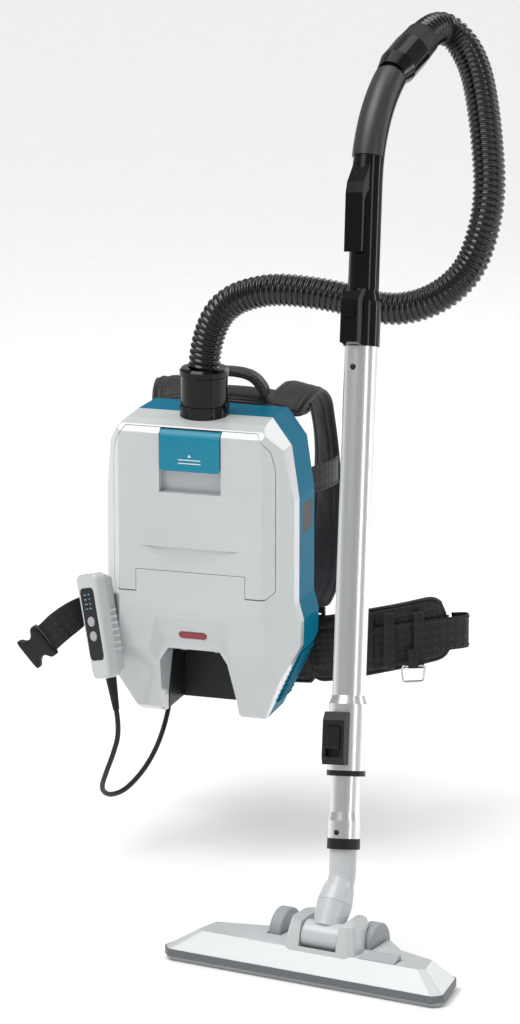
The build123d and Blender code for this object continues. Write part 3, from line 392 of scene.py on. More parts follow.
def node_group(name, sizes):
    """A Geometry Nodes tree with named number inputs. Returns the tree, its input and its output."""
    tree = bpy.data.node_groups.new(name, "GeometryNodeTree")
    tree.interface.new_socket("Geometry", in_out="INPUT", socket_type="NodeSocketGeometry")
    for label in sizes:
        tree.interface.new_socket(label, in_out="INPUT", socket_type="NodeSocketFloat")
    tree.interface.new_socket("Geometry", in_out="OUTPUT", socket_type="NodeSocketGeometry")
    return tree, tree.nodes.new("NodeGroupInput"), tree.nodes.new("NodeGroupOutput")


def finish_tree(tree, leave, geometry, material):
    """Ends a tree in Realize Instances and Set Material."""
    real = add(tree, "GeometryNodeRealizeInstances", Geometry=geometry)
    coated = add(tree, "GeometryNodeSetMaterial", Geometry=real.outputs[0], Material=material)
    tree.links.new(coated.outputs[0], leave.inputs[0])


def grow(name, base, tree, sizes, body, material):
    """Runs a tree on a base object with its inputs set by identifier, and keeps a plain mesh."""
    if base.name not in bpy.context.scene.collection.all_objects:
        bpy.context.scene.collection.objects.link(base)
    modifier = base.modifiers.new("grow", "NODES")
    modifier.node_group = tree
    for item in tree.interface.items_tree:
        if item.in_out == "INPUT" and item.name in sizes:
            modifier[item.identifier] = sizes[item.name]
    bpy.context.view_layer.update()
    mesh = bpy.data.meshes.new_from_object(base.evaluated_get(bpy.context.evaluated_depsgraph_get()))
    bpy.data.objects.remove(base)
    made = adopt(bpy.data.objects.new(name, mesh), body, material)
    print(name, "has", len(mesh.polygons), "faces")
    return made


def hose_tree():
    """Curve in, ribbed tube out."""
    tree, enter, leave = node_group("ribbed_hose", ("Radius", "Pitch", "Depth", "Step"))
    size = enter.outputs
    even = add(
        tree, "GeometryNodeResampleCurve", {"mode": "LENGTH"}, Curve=size["Geometry"],
        Length=size["Step"]
    )
    along = add(tree, "GeometryNodeSplineParameter")
    held = add(tree, "GeometryNodeCaptureAttribute", {"domain": "POINT"}, Geometry=even.outputs[0])
    held.capture_items.new("FLOAT", "run")
    tree.links.new(along.outputs["Length"], held.inputs["run"])
    ring = add(tree, "GeometryNodeCurvePrimitiveCircle", Resolution=ROUND_STEPS, Radius=size["Radius"])
    turn = add(tree, "GeometryNodeCaptureAttribute", {"domain": "POINT"}, Geometry=ring.outputs[0])
    turn.capture_items.new("FLOAT", "turn")
    tree.links.new(add(tree, "GeometryNodeSplineParameter").outputs["Factor"], turn.inputs["turn"])
    tube = add(
        tree, "GeometryNodeCurveToMesh", Curve=held.outputs["Geometry"],
        Profile_Curve=turn.outputs["Geometry"]
    )
    turns = add(
        tree, "ShaderNodeMath", {"operation": "DIVIDE"}, i0=held.outputs["run"], i1=size["Pitch"]
    )
    phase = add(
        tree, "ShaderNodeMath", {"operation": "ADD"}, i0=turns.outputs[0], i1=turn.outputs["turn"]
    )
    angle = add(tree, "ShaderNodeMath", {"operation": "MULTIPLY"}, i0=phase.outputs[0], i1=2 * pi)
    wave = add(tree, "ShaderNodeMath", {"operation": "SINE"}, i0=angle.outputs[0])
    push = add(tree, "ShaderNodeMath", {"operation": "MULTIPLY"}, i0=wave.outputs[0], i1=size["Depth"])
    normal = add(tree, "GeometryNodeInputNormal")
    offset = add(
        tree, "ShaderNodeVectorMath", {"operation": "SCALE"}, Vector=normal.outputs[0],
        Scale=push.outputs[0]
    )
    moved = add(tree, "GeometryNodeSetPosition", Geometry=tube.outputs[0], Offset=offset.outputs[0])
    finish_tree(tree, leave, moved.outputs[0], SMOKE)
    return tree


hose_path = line_of(nurbs("hose_path", HOSE_ROUTE))
hose = grow(
    "ribbed_hose", nurbs("hose_route", HOSE_ROUTE), hose_tree(),
    {"Radius": HOSE_R * MM, "Pitch": RIB_PITCH * MM, "Depth": RIB_DEPTH * MM,
     "Step": RIB_PITCH * MM / STEPS_PER_RIB},
    "hose_assembly", SMOKE,
)
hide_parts("hose")

# %% [markdown]
# ## Sewn pads
# A harness pad is a foam sheet between two fabrics, sewn together round the rim and along a few
# channels. Between its seams it swells. A box with a bump map stays a box, so each pad is a grid of
# two skins that share their rim, crowned between the seams. A short cloth simulation with light inner
# pressure and pinned seams then settles the skins. Half the points of a pad move less than 0.1 mm and
# none more than 2.2 mm, 3.8 mm on the slack dust bag, so it is the crown that gives the shape. The grid
# keeps its UV map, so that the weave follows the strap.

# %% Smooth stations along a pad
def through(values, count):
    """A smooth run of vectors through a list of them."""
    last = len(values) - 1
    run = []
    for i in range(count):
        share = i / (count - 1) * last
        k = min(int(share), last - 1)
        t = share - k
        a, b, c, d = (Vector(values[min(max(k + j, 0), last)]) for j in (-1, 0, 1, 2))
        run.append(
            0.5 * (2 * b + (c - a) * t + (2 * a - 5 * b + 4 * c - d) * t**2 + (3 * b - a - 3 * c + d) * t**3)
        )
    return run


def frames_of(centres, across):
    """For each station its centre, its direction across and its direction out of the pad."""
    frames = []
    for i, centre in enumerate(centres):
        run = centres[min(i + 1, len(centres) - 1)] - centres[max(i - 1, 0)]
        wide = across[i] - run * (across[i].dot(run) / run.dot(run))
        wide.normalize()
        frames.append((centre, wide, run.cross(wide).normalized()))
    return frames


def facing(frames, side):
    """The same frames, turned round where they look away from a direction at their middle."""
    if frames[len(frames) // 2][2].dot(Vector(side)) < 0:
        return [(centre, -wide, -out) for centre, wide, out in frames]
    return frames


# %% One pad: two skins, seams, and a short simulation
PAD_STEP, PAD_COLUMNS = 6.0, 18
SEAM_SHARE = 0.12  # what thickness is left at a sewn line
STITCH_LIFT = 0.0006  # metres from the seam to the thread on it
MAX_SWELL = 6.0


def rounded_end(distance, corner, half):
    """How far a rounded corner pulls the rim in, at a distance from the pad's end."""
    if distance >= corner:
        return 0.0
    return corner - (max(0.0, corner**2 - (corner - distance) ** 2)) ** 0.5


def sewn_pad(
    name, frames, half, thick, body, lengthwise=(), crosswise=(), corner=18, flat_back=False
):
    """A pad round a run of frames, in millimetres. Seams: lengthwise as shares of the half width,
    crosswise as shares of the length. Returns the piece and its rim and channel lines in metres."""
    rows = len(frames) - 1
    length = sum((frames[i + 1][0] - frames[i][0]).length for i in range(rows))
    seam_columns = {round((s + 1) / 2 * PAD_COLUMNS) for s in lengthwise}
    seam_rows = {round(s * rows) for s in crosswise}
    verts, uvs, pinned, grid = [], [], [], {}
    for i, (centre, wide, out) in enumerate(frames):
        run = length * i / rows
        width = half(i / rows) if callable(half) else half
        width -= rounded_end(min(run, length - run), corner, width)
        for side in (1, -1):
            for j in range(PAD_COLUMNS + 1):
                if side < 0 and (j in (0, PAD_COLUMNS) or i in (0, rows)):
                    grid[side, i, j] = grid[1, i, j]
                    continue
                u = 2 * j / PAD_COLUMNS - 1
                rim = j in (0, PAD_COLUMNS) or i in (0, rows)
                sewn = rim or j in seam_columns or i in seam_rows
                crown = (1 - abs(u) ** 5) ** 0.5 * min(1.0, (min(run, length - run) / 14) ** 0.5)
                height = thick / 2 * (0.0 if rim else SEAM_SHARE + 0.3 if sewn else crown * 0.8)
                if side < 0 and flat_back and not rim:
                    height = thick / 2 * crown
                if flat_back and rim:
                    height = -thick * 0.3
                grid[side, i, j] = len(verts)
                verts.append((centre + wide * (u * width) + out * (side * height)) * MM)
                uvs.append((u * width * MM, run * MM))
                if sewn or (flat_back and side < 0):
                    pinned.append(len(verts) - 1)
    faces = []
    for side in (1, -1):
        for i in range(rows):
            for j in range(PAD_COLUMNS):
                loop = [
                    grid[side, i, j], grid[side, i, j + 1], grid[side, i + 1, j + 1],
                    grid[side, i + 1, j]
                ]
                faces.append(loop if side > 0 else loop[::-1])
    pad = piece(name, verts, faces, body, FINISH["pad_fabric"], uvs)
    pad.data.materials.append(MESH_CLOTH)
    for face in pad.data.polygons:
        face.material_index = 0 if face.index < rows * PAD_COLUMNS else 1
    solid = bmesh.new()
    solid.from_mesh(pad.data)
    if solid.calc_volume(signed=True) < 0:
        bmesh.ops.reverse_faces(solid, faces=solid.faces)
        solid.to_mesh(pad.data)
    solid.free()
    swell(pad, pinned)
    pad.modifiers.new("smooth", "SUBSURF").render_levels = 1
    pad.modifiers["smooth"].levels = 1
    rim = [grid[1, i, 0] for i in range(rows + 1)] + [grid[1, rows, j] for j in range(1, PAD_COLUMNS)]
    rim += [
        grid[1, i, PAD_COLUMNS] for i in range(rows, -1, -1)
    ] + [grid[1, 0, j] for j in range(PAD_COLUMNS - 1, 0, -1)]
    lines = [[grid[1, i, j] for i in range(2, rows - 1)] for j in sorted(seam_columns)]
    lines += [[grid[1, i, j] for j in range(1, PAD_COLUMNS)] for i in sorted(seam_rows)]
    points = [v.co.copy() for v in pad.data.vertices]
    outs = [v.normal.copy() for v in pad.data.vertices]
    plain(pad)
    pad.data.shade_smooth()
    print(name, "length", round(length), "mm,", len(pad.data.polygons), "faces")
    return pad, [points[k] for k in rim], [
        [points[k] + outs[k] * STITCH_LIFT for k in line] for line in lines
    ]


def swell(pad, pinned):
    """Light inner pressure on the skins while the seams are held. No point moves more than the cap."""
    scene = bpy.context.scene
    before = [v.co.copy() for v in pad.data.vertices]
    held = pad.vertex_groups.new(name="sewn")
    held.add(pinned, 1.0, "REPLACE")
    cloth = pad.modifiers.new("swell", "CLOTH")
    cloth.settings.vertex_group_mass = "sewn"
    cloth.settings.use_pressure = True
    cloth.settings.uniform_pressure_force = 4.0
    cloth.settings.effector_weights.gravity = 0.0
    cloth.settings.quality = 4
    cloth.point_cache.frame_start, cloth.point_cache.frame_end = 1, 20
    for frame_number in range(1, 21):
        scene.frame_set(frame_number)
    shape = pad.evaluated_get(bpy.context.evaluated_depsgraph_get()).data
    after = [v.co.copy() for v in shape.vertices]
    pad.modifiers.remove(cloth)
    for vertex, start, end in zip(pad.data.vertices, before, after):
        move = end - start
        if move.length > MAX_SWELL * MM:
            move *= MAX_SWELL * MM / move.length
        vertex.co = start + move
    pad.vertex_groups.clear()
    pad.data.update()
    scene.frame_set(1)


# %% [markdown]
# ## Piping and stitches
# The rim of each pad is bound with a thin coated cord, and the channels show as rows of stitches.
# Both follow lines that the pad gives. Thousands of stitches by hand are out of the question, so
# Geometry Nodes put one small thread loop at every step of the line, turned along it.

# %% Trees for piping and for stitches
def tube_tree():
    """Edges in, round tube out."""
    tree, enter, leave = node_group("piping_tube", ("Radius",))
    line = add(tree, "GeometryNodeMeshToCurve", Mesh=enter.outputs["Geometry"])
    ring = add(tree, "GeometryNodeCurvePrimitiveCircle", Resolution=8, Radius=enter.outputs["Radius"])
    tube = add(
        tree, "GeometryNodeCurveToMesh", Curve=line.outputs[0], Profile_Curve=ring.outputs[0],
        Fill_Caps=True
    )
    finish_tree(tree, leave, tube.outputs[0], PIPING)
    return tree


def stitch_tree():
    """Edges in, a row of short threads out."""
    tree, enter, leave = node_group("stitch_row", ("Step", "Length", "Thread"))
    size = enter.outputs
    line = add(tree, "GeometryNodeMeshToCurve", Mesh=size["Geometry"])
    even = add(
        tree, "GeometryNodeCurveToPoints", {"mode": "LENGTH"}, Curve=line.outputs[0],
        Length=size["Step"]
    )
    thread = add(
        tree, "GeometryNodeMeshCylinder", Vertices=6, Radius=size["Thread"], Depth=size["Length"]
    )
    row = add(
        tree, "GeometryNodeInstanceOnPoints", Points=even.outputs["Points"],
        Instance=thread.outputs["Mesh"]
    )
    tree.links.new(even.outputs["Rotation"], row.inputs["Rotation"])
    finish_tree(tree, leave, row.outputs[0], THREAD)
    return tree


def line_mesh(name, lines, closed=False):
    """A mesh of bare edges along each list of points."""
    verts, edges = [], []
    for line in lines:
        start = len(verts)
        verts += [tuple(point) for point in line]
        edges += [(k, k + 1) for k in range(start, len(verts) - 1)]
        if closed:
            edges.append((len(verts) - 1, start))
    mesh = bpy.data.meshes.new(name)
    mesh.from_pydata(verts, edges, [])
    return bpy.data.objects.new(name, mesh)


TUBE_TREE, STITCH_TREE = tube_tree(), stitch_tree()
PIPING_R, STITCH_STEP, STITCH_LONG, THREAD_R = 1.9, 5.5, 3.4, 0.45


def bind(name, rims, lines, body="pack"):
    """Piping round the rims and stitches along the lines of one or more pads."""
    if rims:
        grow(name + "_piping", line_mesh(name + "_rims", rims, closed=True), TUBE_TREE,
             {"Radius": PIPING_R * MM}, body, PIPING)
    grow(name + "_stitches", line_mesh(name + "_lines", lines), STITCH_TREE,
         {"Step": STITCH_STEP * MM, "Length": STITCH_LONG * MM, "Thread": THREAD_R * MM}, body, THREAD)


# %% [markdown]
# ## Back pad and shoulder straps
# The back pad is flat where it rests on the plate and crowned towards the wearer, with cross channels
# that let air through. Each shoulder strap loops from the top of the plate over the shoulder and back
# under the arm, satin outside and spacer mesh inside.

# %% Back pad
low, high = (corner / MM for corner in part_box("back_pad"))
back_rows = int((high.z - low.z) / PAD_STEP)
back_centres = [
    Vector((0, (low.y + high.y) / 2, low.z + (high.z - low.z) * i / back_rows)) for i in range(back_rows + 1)
]
back_frames = frames_of(back_centres, [Vector((-1, 0, 0))] * (back_rows + 1))
back_frames = facing(back_frames, (0, 1, 0))
back_pad, _, back_lines = sewn_pad(
    "sewn_back_pad", back_frames, (high.x - low.x) / 2, high.y - low.y, "pack",
    lengthwise=(0.0,), crosswise=(0.2, 0.4, 0.6, 0.8), corner=26, flat_back=True,
)
back_pad.data.materials[0] = MESH_CLOTH
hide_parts("back_pad")
bind("back_pad", [], back_lines)

# %% Shoulder straps
SHOULDER_PATH = [(-14, 139.5), (10, 154), (44, 158), (76, 138), (94, 96), (98, 46), (92, -12),
                 (72, -56), (42, -84), (10, -96)]
SHOULDER_HALF, SHOULDER_THICK, SHOULDER_ROWS = 26.0, 12.0, 70
rims, lines = [], []
for side, label in ((-1, "left"), (1, "right")):
    centres, across = [], []
    for i, (back, height) in enumerate(SHOULDER_PATH):
        share = i / (len(SHOULDER_PATH) - 1)
        turn = radians(44 * sin(pi * min(1, 1.15 * share)))
        centres.append((side * (64 + 24 * sin(pi / 2 * min(1, 1.6 * share))), back, height))
        across.append((cos(turn) * side, -sin(turn), 0))
    run = through(centres, SHOULDER_ROWS)
    frames = frames_of(run, through(across, SHOULDER_ROWS))
    frames = facing(frames, run[SHOULDER_ROWS // 2] - Vector((side * 70, 35, 30)))
    strap, rim, seams = sewn_pad(
        "sewn_strap_" + label, frames, SHOULDER_HALF, SHOULDER_THICK, "pack", lengthwise=(-0.56, 0.56),
    )
    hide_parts("shoulder_strap_" + label)
    rims.append(rim)
    lines += seams
bind("strap", rims, lines)

# %% [markdown]
# ## Hip wings, yoke and grab handle
# The wings carry the weight on the hips. Over the shoulders a padded yoke joins both straps, and a
# sewn sleeve on it is what one lifts the machine by.

# %% Hip wings
RIGHT_WING = [(90, 9, -150), (130, 11, -143), (170, 17, -134), (210, 32, -126), (248, 54, -118)]
LEFT_WING = [(-88, 9, -150), (-112, 26, -147), (-128, 56, -142), (-134, 92, -138)]
WING_HALF, WING_THICK = 38.0, 12.0
rims, lines = [], []
for label, stations in (("right", RIGHT_WING), ("left", LEFT_WING)):
    rows = int(sum((Vector(b) - Vector(a)).length for a, b in zip(stations, stations[1:])) / 4.5)
    frames = frames_of(through(stations, rows), [Vector((0, 0, 1))] * rows)
    frames = facing(frames, (0, -1, 0))
    wing, rim, seams = sewn_pad(
        "sewn_wing_" + label, frames, WING_HALF, WING_THICK, "pack", lengthwise=(-0.67, 0.67), corner=22,
    )
    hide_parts("waist_wing_" + label)
    rims.append(rim)
    lines += seams
bind("wing", rims, lines)

# %% Lumbar pad, yoke and grab handle
LUMBAR = [(-97, 10, -150), (-50, 9, -152), (0, 9, -153), (50, 9, -152), (97, 10, -150)]
frames = frames_of(through(LUMBAR, 34), [Vector((0, 0, 1))] * 34)
frames = facing(frames, (0, -1, 0))
_, lumbar_rim, lumbar_lines = sewn_pad(
    "sewn_lumbar_pad", frames, 38.0, 12.0, "pack", lengthwise=(-0.67, 0.67), crosswise=(0.5,), corner=4
)
bind("lumbar", [lumbar_rim], lumbar_lines)
YOKE = [(-92, 4, 139), (-62, 4, 149), (-24, 2, 153), (24, 2, 153), (62, 4, 149), (92, 4, 139)]
frames = frames_of(through(YOKE, 32), [Vector((0, 1, 0.12))] * 32)
frames = facing(frames, (0, 0, 1))
_, yoke_rim, yoke_lines = sewn_pad(
    "sewn_yoke", frames, 23.0, 15.0, "pack", crosswise=(0.25, 0.75)
)
GRAB_ROUTE = [
    (-44, -14, 156), (-38, -14, 172), (-20, -13, 182), (8, -12, 184), (30, -13, 180), (43, -14, 168),
    (46, -14, 156)
]
frames = frames_of(through(GRAB_ROUTE, 30), [Vector((0, 1, 0))] * 30)
frames = facing(frames, (0, 0, 1))
grab, _, grab_lines = sewn_pad(
    "sewn_grab_handle", frames, 12.0, 13.0, "pack", lengthwise=(-0.78, 0.78), corner=5
)
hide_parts("grab_handle")
bind("yoke", [yoke_rim], yoke_lines + grab_lines)

# %% [markdown]
# ## Webbing
# Webbing is a flat woven tape 2 mm thick: it bends easily one way and hardly the other, and it is
# never padded. It is modelled directly as a thin closed strip, with two woven ribs along its edges.

# %% Tape along stations
def tape(name, stations, across, width, thick, body, count=60, ripple=0.0):
    """A thin woven strip with thicker selvedges, closed at both ends."""
    centres = through(stations, count)
    frames = frames_of(centres, [Vector(across)] * count)
    profile = [
        (-1, 0.0), (-0.98, 0.9), (-0.9, 1.0), (-0.84, 0.72), (0.84, 0.72), (0.9, 1.0), (0.98, 0.9),
        (1, 0.0)
    ]
    loop = profile + [(u, -h) for u, h in reversed(profile[1:-1])]
    verts, uvs, run = [], [], 0.0
    for i, (centre, wide, out) in enumerate(frames):
        run += (centre - centres[max(i - 1, 0)]).length
        sway = ripple * sin(run / 23) * sin(pi * i / (count - 1))
        for u, h in loop:
            verts.append((centre + wide * (u * width / 2) + out * (h * thick / 2 + sway)) * MM)
            uvs.append((u * width / 2 * MM + (h < 0) * 0.1, run * MM))
    n = len(loop)
    faces = [[i * n + j, i * n + (j + 1) % n, (i + 1) * n + (j + 1) % n, (i + 1) * n + j]
             for i in range(count - 1) for j in range(n)]
    faces += [list(range(n))[::-1], list(range((count - 1) * n, count * n))]
    strip = piece(name, verts, faces, body, FINISH["webbing"], uvs, smooth=False)
    outwards(strip)
    edge = [[(c + w * (s * width * 0.42) + o * (thick / 2 + 0.2)) * MM for c, w, o in frames[2:-2]] for s in (-1, 1)]
    return strip, edge


def hold(stations):
    """The length of a strap's run through its stations, in millimetres."""
    run = through(stations, 60)
    length = sum((b - a).length for a, b in zip(run, run[1:]))
    return length


# %% Waist webs, bands and loops
LEFT_WEB = [(-143.5, 88, -139), (-147, 50, -134), (-147, 0, -122), (-146, -60, -104),
            (-151, -98, -95), (-172, -110, -110), (-191, -108, -128)]
RIGHT_WEB = [(150, 2.6, -138), (180, 10, -134), (212, 23, -129), (246, 41.5, -126),
             (262, 56, -126), (269, 70, -127), (263, 82, -128), (247.5, 80, -129)]
web_lines = []
for name, stations, width in (("waist_web_left", LEFT_WEB, 36), ("waist_web_right", RIGHT_WEB, 40)):
    web, edges = tape("woven_" + name, stations, (0, 0, 1), width, 2.4, "pack")
    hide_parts(name)
    print(name, "run", round(hold(stations)), "mm")
    web_lines += edges
for side, label in ((-1, "left"), (1, "right")):
    stations = [
        (side * x, y, z) for x, y, z in ((100, -22, 62), (110, 6, 62), (114, 34, 61), (112, 58, 60))
    ]
    strip, edges = tape("woven_band_" + label, stations, (0, 0, 1), 32, 2.4, "pack", count=30)
    hold(stations)
    web_lines += edges
    if side > 0:
        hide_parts("harness_bands")
LOOP_SPOTS = [((166, 3.2), 14), ((190, 10.4), 21), ((222, 25), 27)]
for number, ((x, y), turn) in enumerate(LOOP_SPOTS):
    out = Vector((sin(radians(turn)), -cos(radians(turn)), 0))
    side_way = Vector((cos(radians(turn)), sin(radians(turn)), 0))
    rise = [(-34, -2.2), (-31, 0.4), (-20, 2.6), (0, 3.4), (20, 2.6), (31, 0.4), (34, -2.2)]
    stations = [Vector((x, y, -131)) + out * lift + Vector((0, 0, up)) for up, lift in rise]
    strip, edges = tape(f"woven_loop_{number}", stations, side_way, 13, 1.8, "pack", count=28)
    hold(stations)
    if number == 0:
        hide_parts("belt_loops")
tab_out = Vector((sin(radians(26)), -cos(radians(26)), 0))
tab = [Vector((218, 17, -156)) + tab_out * lift + Vector((0, 0, up)) for up, lift in
       ((16, -1.5), (9, 1.8), (0, 2.4), (-5, 1.6), (-6.6, 0), (-5, -1.6), (0, -2.4), (9, -3))]
ring_tab, edges = tape(
    "woven_ring_tab", tab, (cos(radians(26)), sin(radians(26)), 0), 12, 1.6, "pack", count=30
)
hold(tab)
bind("web", [], web_lines)

# %% [markdown]
# ## Small printed and moulded marks
# The latch carries two printed lines, the front a plain red pill and the side a blank type plate. They
# are real films and mouldings a few tenths of a millimetre thick, so each is a thin plate with a
# rounded rim, laid on the face that the CAD solid gives, and not a colour painted by a pattern.

# %% A thin plate on a face
def plate(name, outline, origin, right, up, depth, body, material, soften=0.3):
    """An outline in millimetres, raised by its depth along right x up."""
    right, up = Vector(right).normalized(), Vector(up)
    out = right.cross(up).normalized()
    up = out.cross(right)
    shape = bmesh.new()
    ring = [shape.verts.new((Vector(origin) + right * x + up * y) * MM) for x, y in outline]
    face = shape.faces.new(ring)
    if face.normal.length == 0:
        face.normal_update()
    grown = bmesh.ops.extrude_face_region(shape, geom=[face])
    moved = [g for g in grown["geom"] if isinstance(g, bmesh.types.BMVert)]
    bmesh.ops.translate(shape, verts=moved, vec=out * depth * MM)
    top = [e for e in {e for v in moved for e in v.link_edges} if all(v in moved for v in e.verts)]
    if soften:
        bmesh.ops.bevel(
            shape, geom=top, offset=min(soften, depth * 0.6) * MM, segments=2, affect="EDGES"
        )
    bmesh.ops.recalc_face_normals(shape, faces=shape.faces)
    mesh = bpy.data.meshes.new(name)
    shape.to_mesh(mesh)
    shape.free()
    return adopt(bpy.data.objects.new(name, mesh), body, material, smooth=False)


def rounded(wide, high, corner, steps=5):
    """The outline of a rounded rectangle about its middle."""
    points = []
    for k, (sx, sy) in enumerate(((1, 1), (-1, 1), (-1, -1), (1, -1))):
        for i in range(steps + 1):
            angle = pi / 2 * (k + i / steps)
            points.append((sx * (wide / 2 - corner) + corner * cos(angle), sy * (high / 2 - corner) + corner * sin(angle)))
    return points


def reach(node, direction, near=None, within=None):
    """How far a CAD node reaches along a direction, in millimetres, near a point if one is given."""
    points = [v.co / MM for v in frame["nodes"][node].data.vertices]
    if near is not None:
        points = [p for p in points if (p - Vector(near)).length < within]
    return max(p.dot(Vector(direction)) for p in points)


# %% Latch lines and arrow, badge and type plate
PRINT_WHITE = moulded("white_pad_print", "#E6EAEB", "#F2F4F4", 0.4, grain=0.02)
BADGE_RED = moulded("red_enamel_film", "#7C1424", "#8E1B2C", 0.2, grain=0.02, Coat_Weight=0.4)
latch_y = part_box("latch")[0].y / MM
for number, (z, wide) in enumerate(((108.6, 27), (104.6, 27))):
    plate(f"latch_line_{number}", rounded(wide, 1.1, 0.5), (0, latch_y + 0.05, z), (1, 0, 0), (0, 0, 1), 0.35,
          "lid_latch", PRINT_WHITE, 0.15)
plate("latch_arrow", [(-2.2, 0), (2.2, 0), (0, 3.4)], (0, latch_y + 0.05, 112), (1, 0, 0), (0, 0, 1), 0.35,
      "lid_latch", PRINT_WHITE, 0.12)
recess_up = Vector((0, -0.357, 0.934))
side_x = reach("rear_housing", (1, 0, 0), (113, -60, 30), 40)
plate("type_plate", [(-20, -20), (22, -13.5), (22, 17.5), (-20, 19.5)], (side_x - 0.05, -66, 31), (0, 1, 0), (0, 0, 1), 0.5,
      "pack", FINISH["black_satin"], 0.2)
plate(
    "plain_badge", rounded(34, 9.5, 4.7), (0, -141.0, -100), (1, 0, 0), recess_up, 0.9, "pack",
    BADGE_RED
)

# %% [markdown]
# ## Louvres, brush and bay
# Cooling air leaves through ribs low on each side of the teal shell. They repeat at an even step down
# the slope, so Geometry Nodes copy one bevelled rib along it.

# %% A row of copies
def row_tree():
    """A piece in, a straight row of it out."""
    tree, enter, leave = node_group("straight_row", ("Count", "Step X", "Step Y", "Step Z"))
    size = enter.outputs
    step = add(tree, "ShaderNodeCombineXYZ", X=size["Step X"], Y=size["Step Y"], Z=size["Step Z"])
    line = add(tree, "GeometryNodeMeshLine", {"mode": "OFFSET"}, Offset=step.outputs[0])
    tree.links.new(size["Count"], line.inputs["Count"])
    row = add(tree, "GeometryNodeInstanceOnPoints", Points=line.outputs[0], Instance=size["Geometry"])
    finish_tree(tree, leave, row.outputs[0], FINISH["housing_teal"])
    return tree


ROW_TREE = row_tree()
SLOPE_TOP, SLOPE_FOOT = Vector((118, 0, -113)), Vector((76, 0, -204))
slope = (SLOPE_FOOT - SLOPE_TOP).normalized()
LOUVRE_STEP, LOUVRES = 6.4, 11
for side, label in ((-1, "left"), (1, "right")):
    down = Vector((slope.x * side, 0, slope.z))
    out = Vector((side * -slope.z, 0, slope.x)) if side > 0 else Vector((slope.z, 0, slope.x))
    first = Vector((SLOPE_TOP.x * side, 0, SLOPE_TOP.z)) + down * 16 - out * 0.4
    start = plate("rib_seed", [(-27, -1.6), (27, -1.6), (24, 1.6), (-24, 1.6)], first + Vector((0, -63, 0)),
                  (0, -side, 0), down, 2.6, "pack", FINISH["housing_teal"], 0.6)
    seed = bpy.data.objects.new("rib_start", start.data.copy())
    bpy.data.objects.remove(start)
    grow("louvres_" + label, seed, ROW_TREE,
         {"Count": float(LOUVRES), "Step X": down.x * LOUVRE_STEP * MM, "Step Y": 0.0, "Step Z": down.z * LOUVRE_STEP * MM},
         "pack", FINISH["housing_teal"])

# %% Dark liner of the battery bay
ARCH = [
    (46, -203), (46, -182), (41, -133), (31, -118), (-31, -118), (-41, -133), (-46, -182), (-46, -203)
]
BAY_FRONT_Y, BAY_BACK_Y, LINER = -93.0, -41.6, 0.8
rings = []
for depth, inset in ((BAY_FRONT_Y, LINER), (BAY_BACK_Y, LINER), (BAY_BACK_Y, 0.1), (BAY_FRONT_Y, 0.1)):
    rings.append(
        [Vector((x - inset * (1 if x > 0 else -1), depth, z - inset * (z > -150))) * MM for x, z in ARCH]
    )
verts = [p for ring in rings for p in ring]
n = len(ARCH)
faces = [
    [a * n + j, a * n + j + 1, b * n + j + 1, b * n + j] for a,
    b in ((0, 1), (2, 3), (3, 0)) for j in range(n - 1)
]
piece("bay_liner", verts, faces, "pack", FINISH["black_satin"], smooth=False)
plate("bay_back", [(x * 0.98, z + 160) for x, z in ARCH][::-1], (0, BAY_BACK_Y + 0.9, -160), (1, 0, 0), (0, 0, 1), 1.0,
      "pack", FINISH["black_satin"])

# %% [markdown]
# ## Bristles
# The strip under the head is two rows of nylon bristles. One bristle is a five-sided taper
# of a few faces; the nodes set it along the strip, each turned a little by a seeded random angle.

# %% Brush strip of the floor head
def bristle_tree():
    """Edges in, bristles out, each leaning a little its own way."""
    tree, enter, leave = node_group("bristle_rows", ("Step", "Length", "Thick", "Lean"))
    size = enter.outputs
    line = add(tree, "GeometryNodeMeshToCurve", Mesh=size["Geometry"])
    even = add(
        tree, "GeometryNodeCurveToPoints", {"mode": "LENGTH"}, Curve=line.outputs[0],
        Length=size["Step"]
    )
    taper = add(tree, "GeometryNodeMeshCone", Vertices=5, Depth=size["Length"])
    tree.links.new(size["Thick"], taper.inputs["Radius Bottom"])
    taper.inputs["Radius Top"].default_value = 0.00025
    less = add(tree, "ShaderNodeMath", {"operation": "MULTIPLY"}, i0=size["Lean"], i1=-1.0)
    low_turn = add(tree, "ShaderNodeCombineXYZ", X=less.outputs[0], Y=less.outputs[0])
    high_turn = add(tree, "ShaderNodeCombineXYZ", X=size["Lean"], Y=size["Lean"])
    lean = add(tree, "FunctionNodeRandomValue", {"data_type": "FLOAT_VECTOR"}, Seed=7)
    tree.links.new(low_turn.outputs[0], lean.inputs["Min"])
    tree.links.new(high_turn.outputs[0], lean.inputs["Max"])
    row = add(
        tree, "GeometryNodeInstanceOnPoints", Points=even.outputs["Points"],
        Instance=taper.outputs["Mesh"]
    )
    tree.links.new(lean.outputs["Value"], row.inputs["Rotation"])
    finish_tree(tree, leave, row.outputs[0], FINISH["brush"])
    return tree


HEAD_ORIGIN, HEAD_YAW = Vector((240.2, -499.3, -370)), radians(-10.1)
HEAD_U = Vector((cos(HEAD_YAW), sin(HEAD_YAW), 0))
HEAD_V = Vector((-sin(HEAD_YAW), cos(HEAD_YAW), 0))


def on_head(u, v, h):
    """A point given along the head's width, depth and height."""
    return HEAD_ORIGIN + HEAD_U * u + HEAD_V * v + Vector((0, 0, h))


rows = [[on_head(-98, v, 2) * MM, on_head(98, v, 2) * MM] for v in (34.6, 36.4)]
bristles = grow("bristle_strip", line_mesh("bristle_lines", rows), bristle_tree(),
                {"Step": 1.6 * MM, "Length": 13 * MM, "Thick": 0.55 * MM, "Lean": 0.12}, "brush_lift",
                FINISH["brush"])
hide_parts("brush_strip")

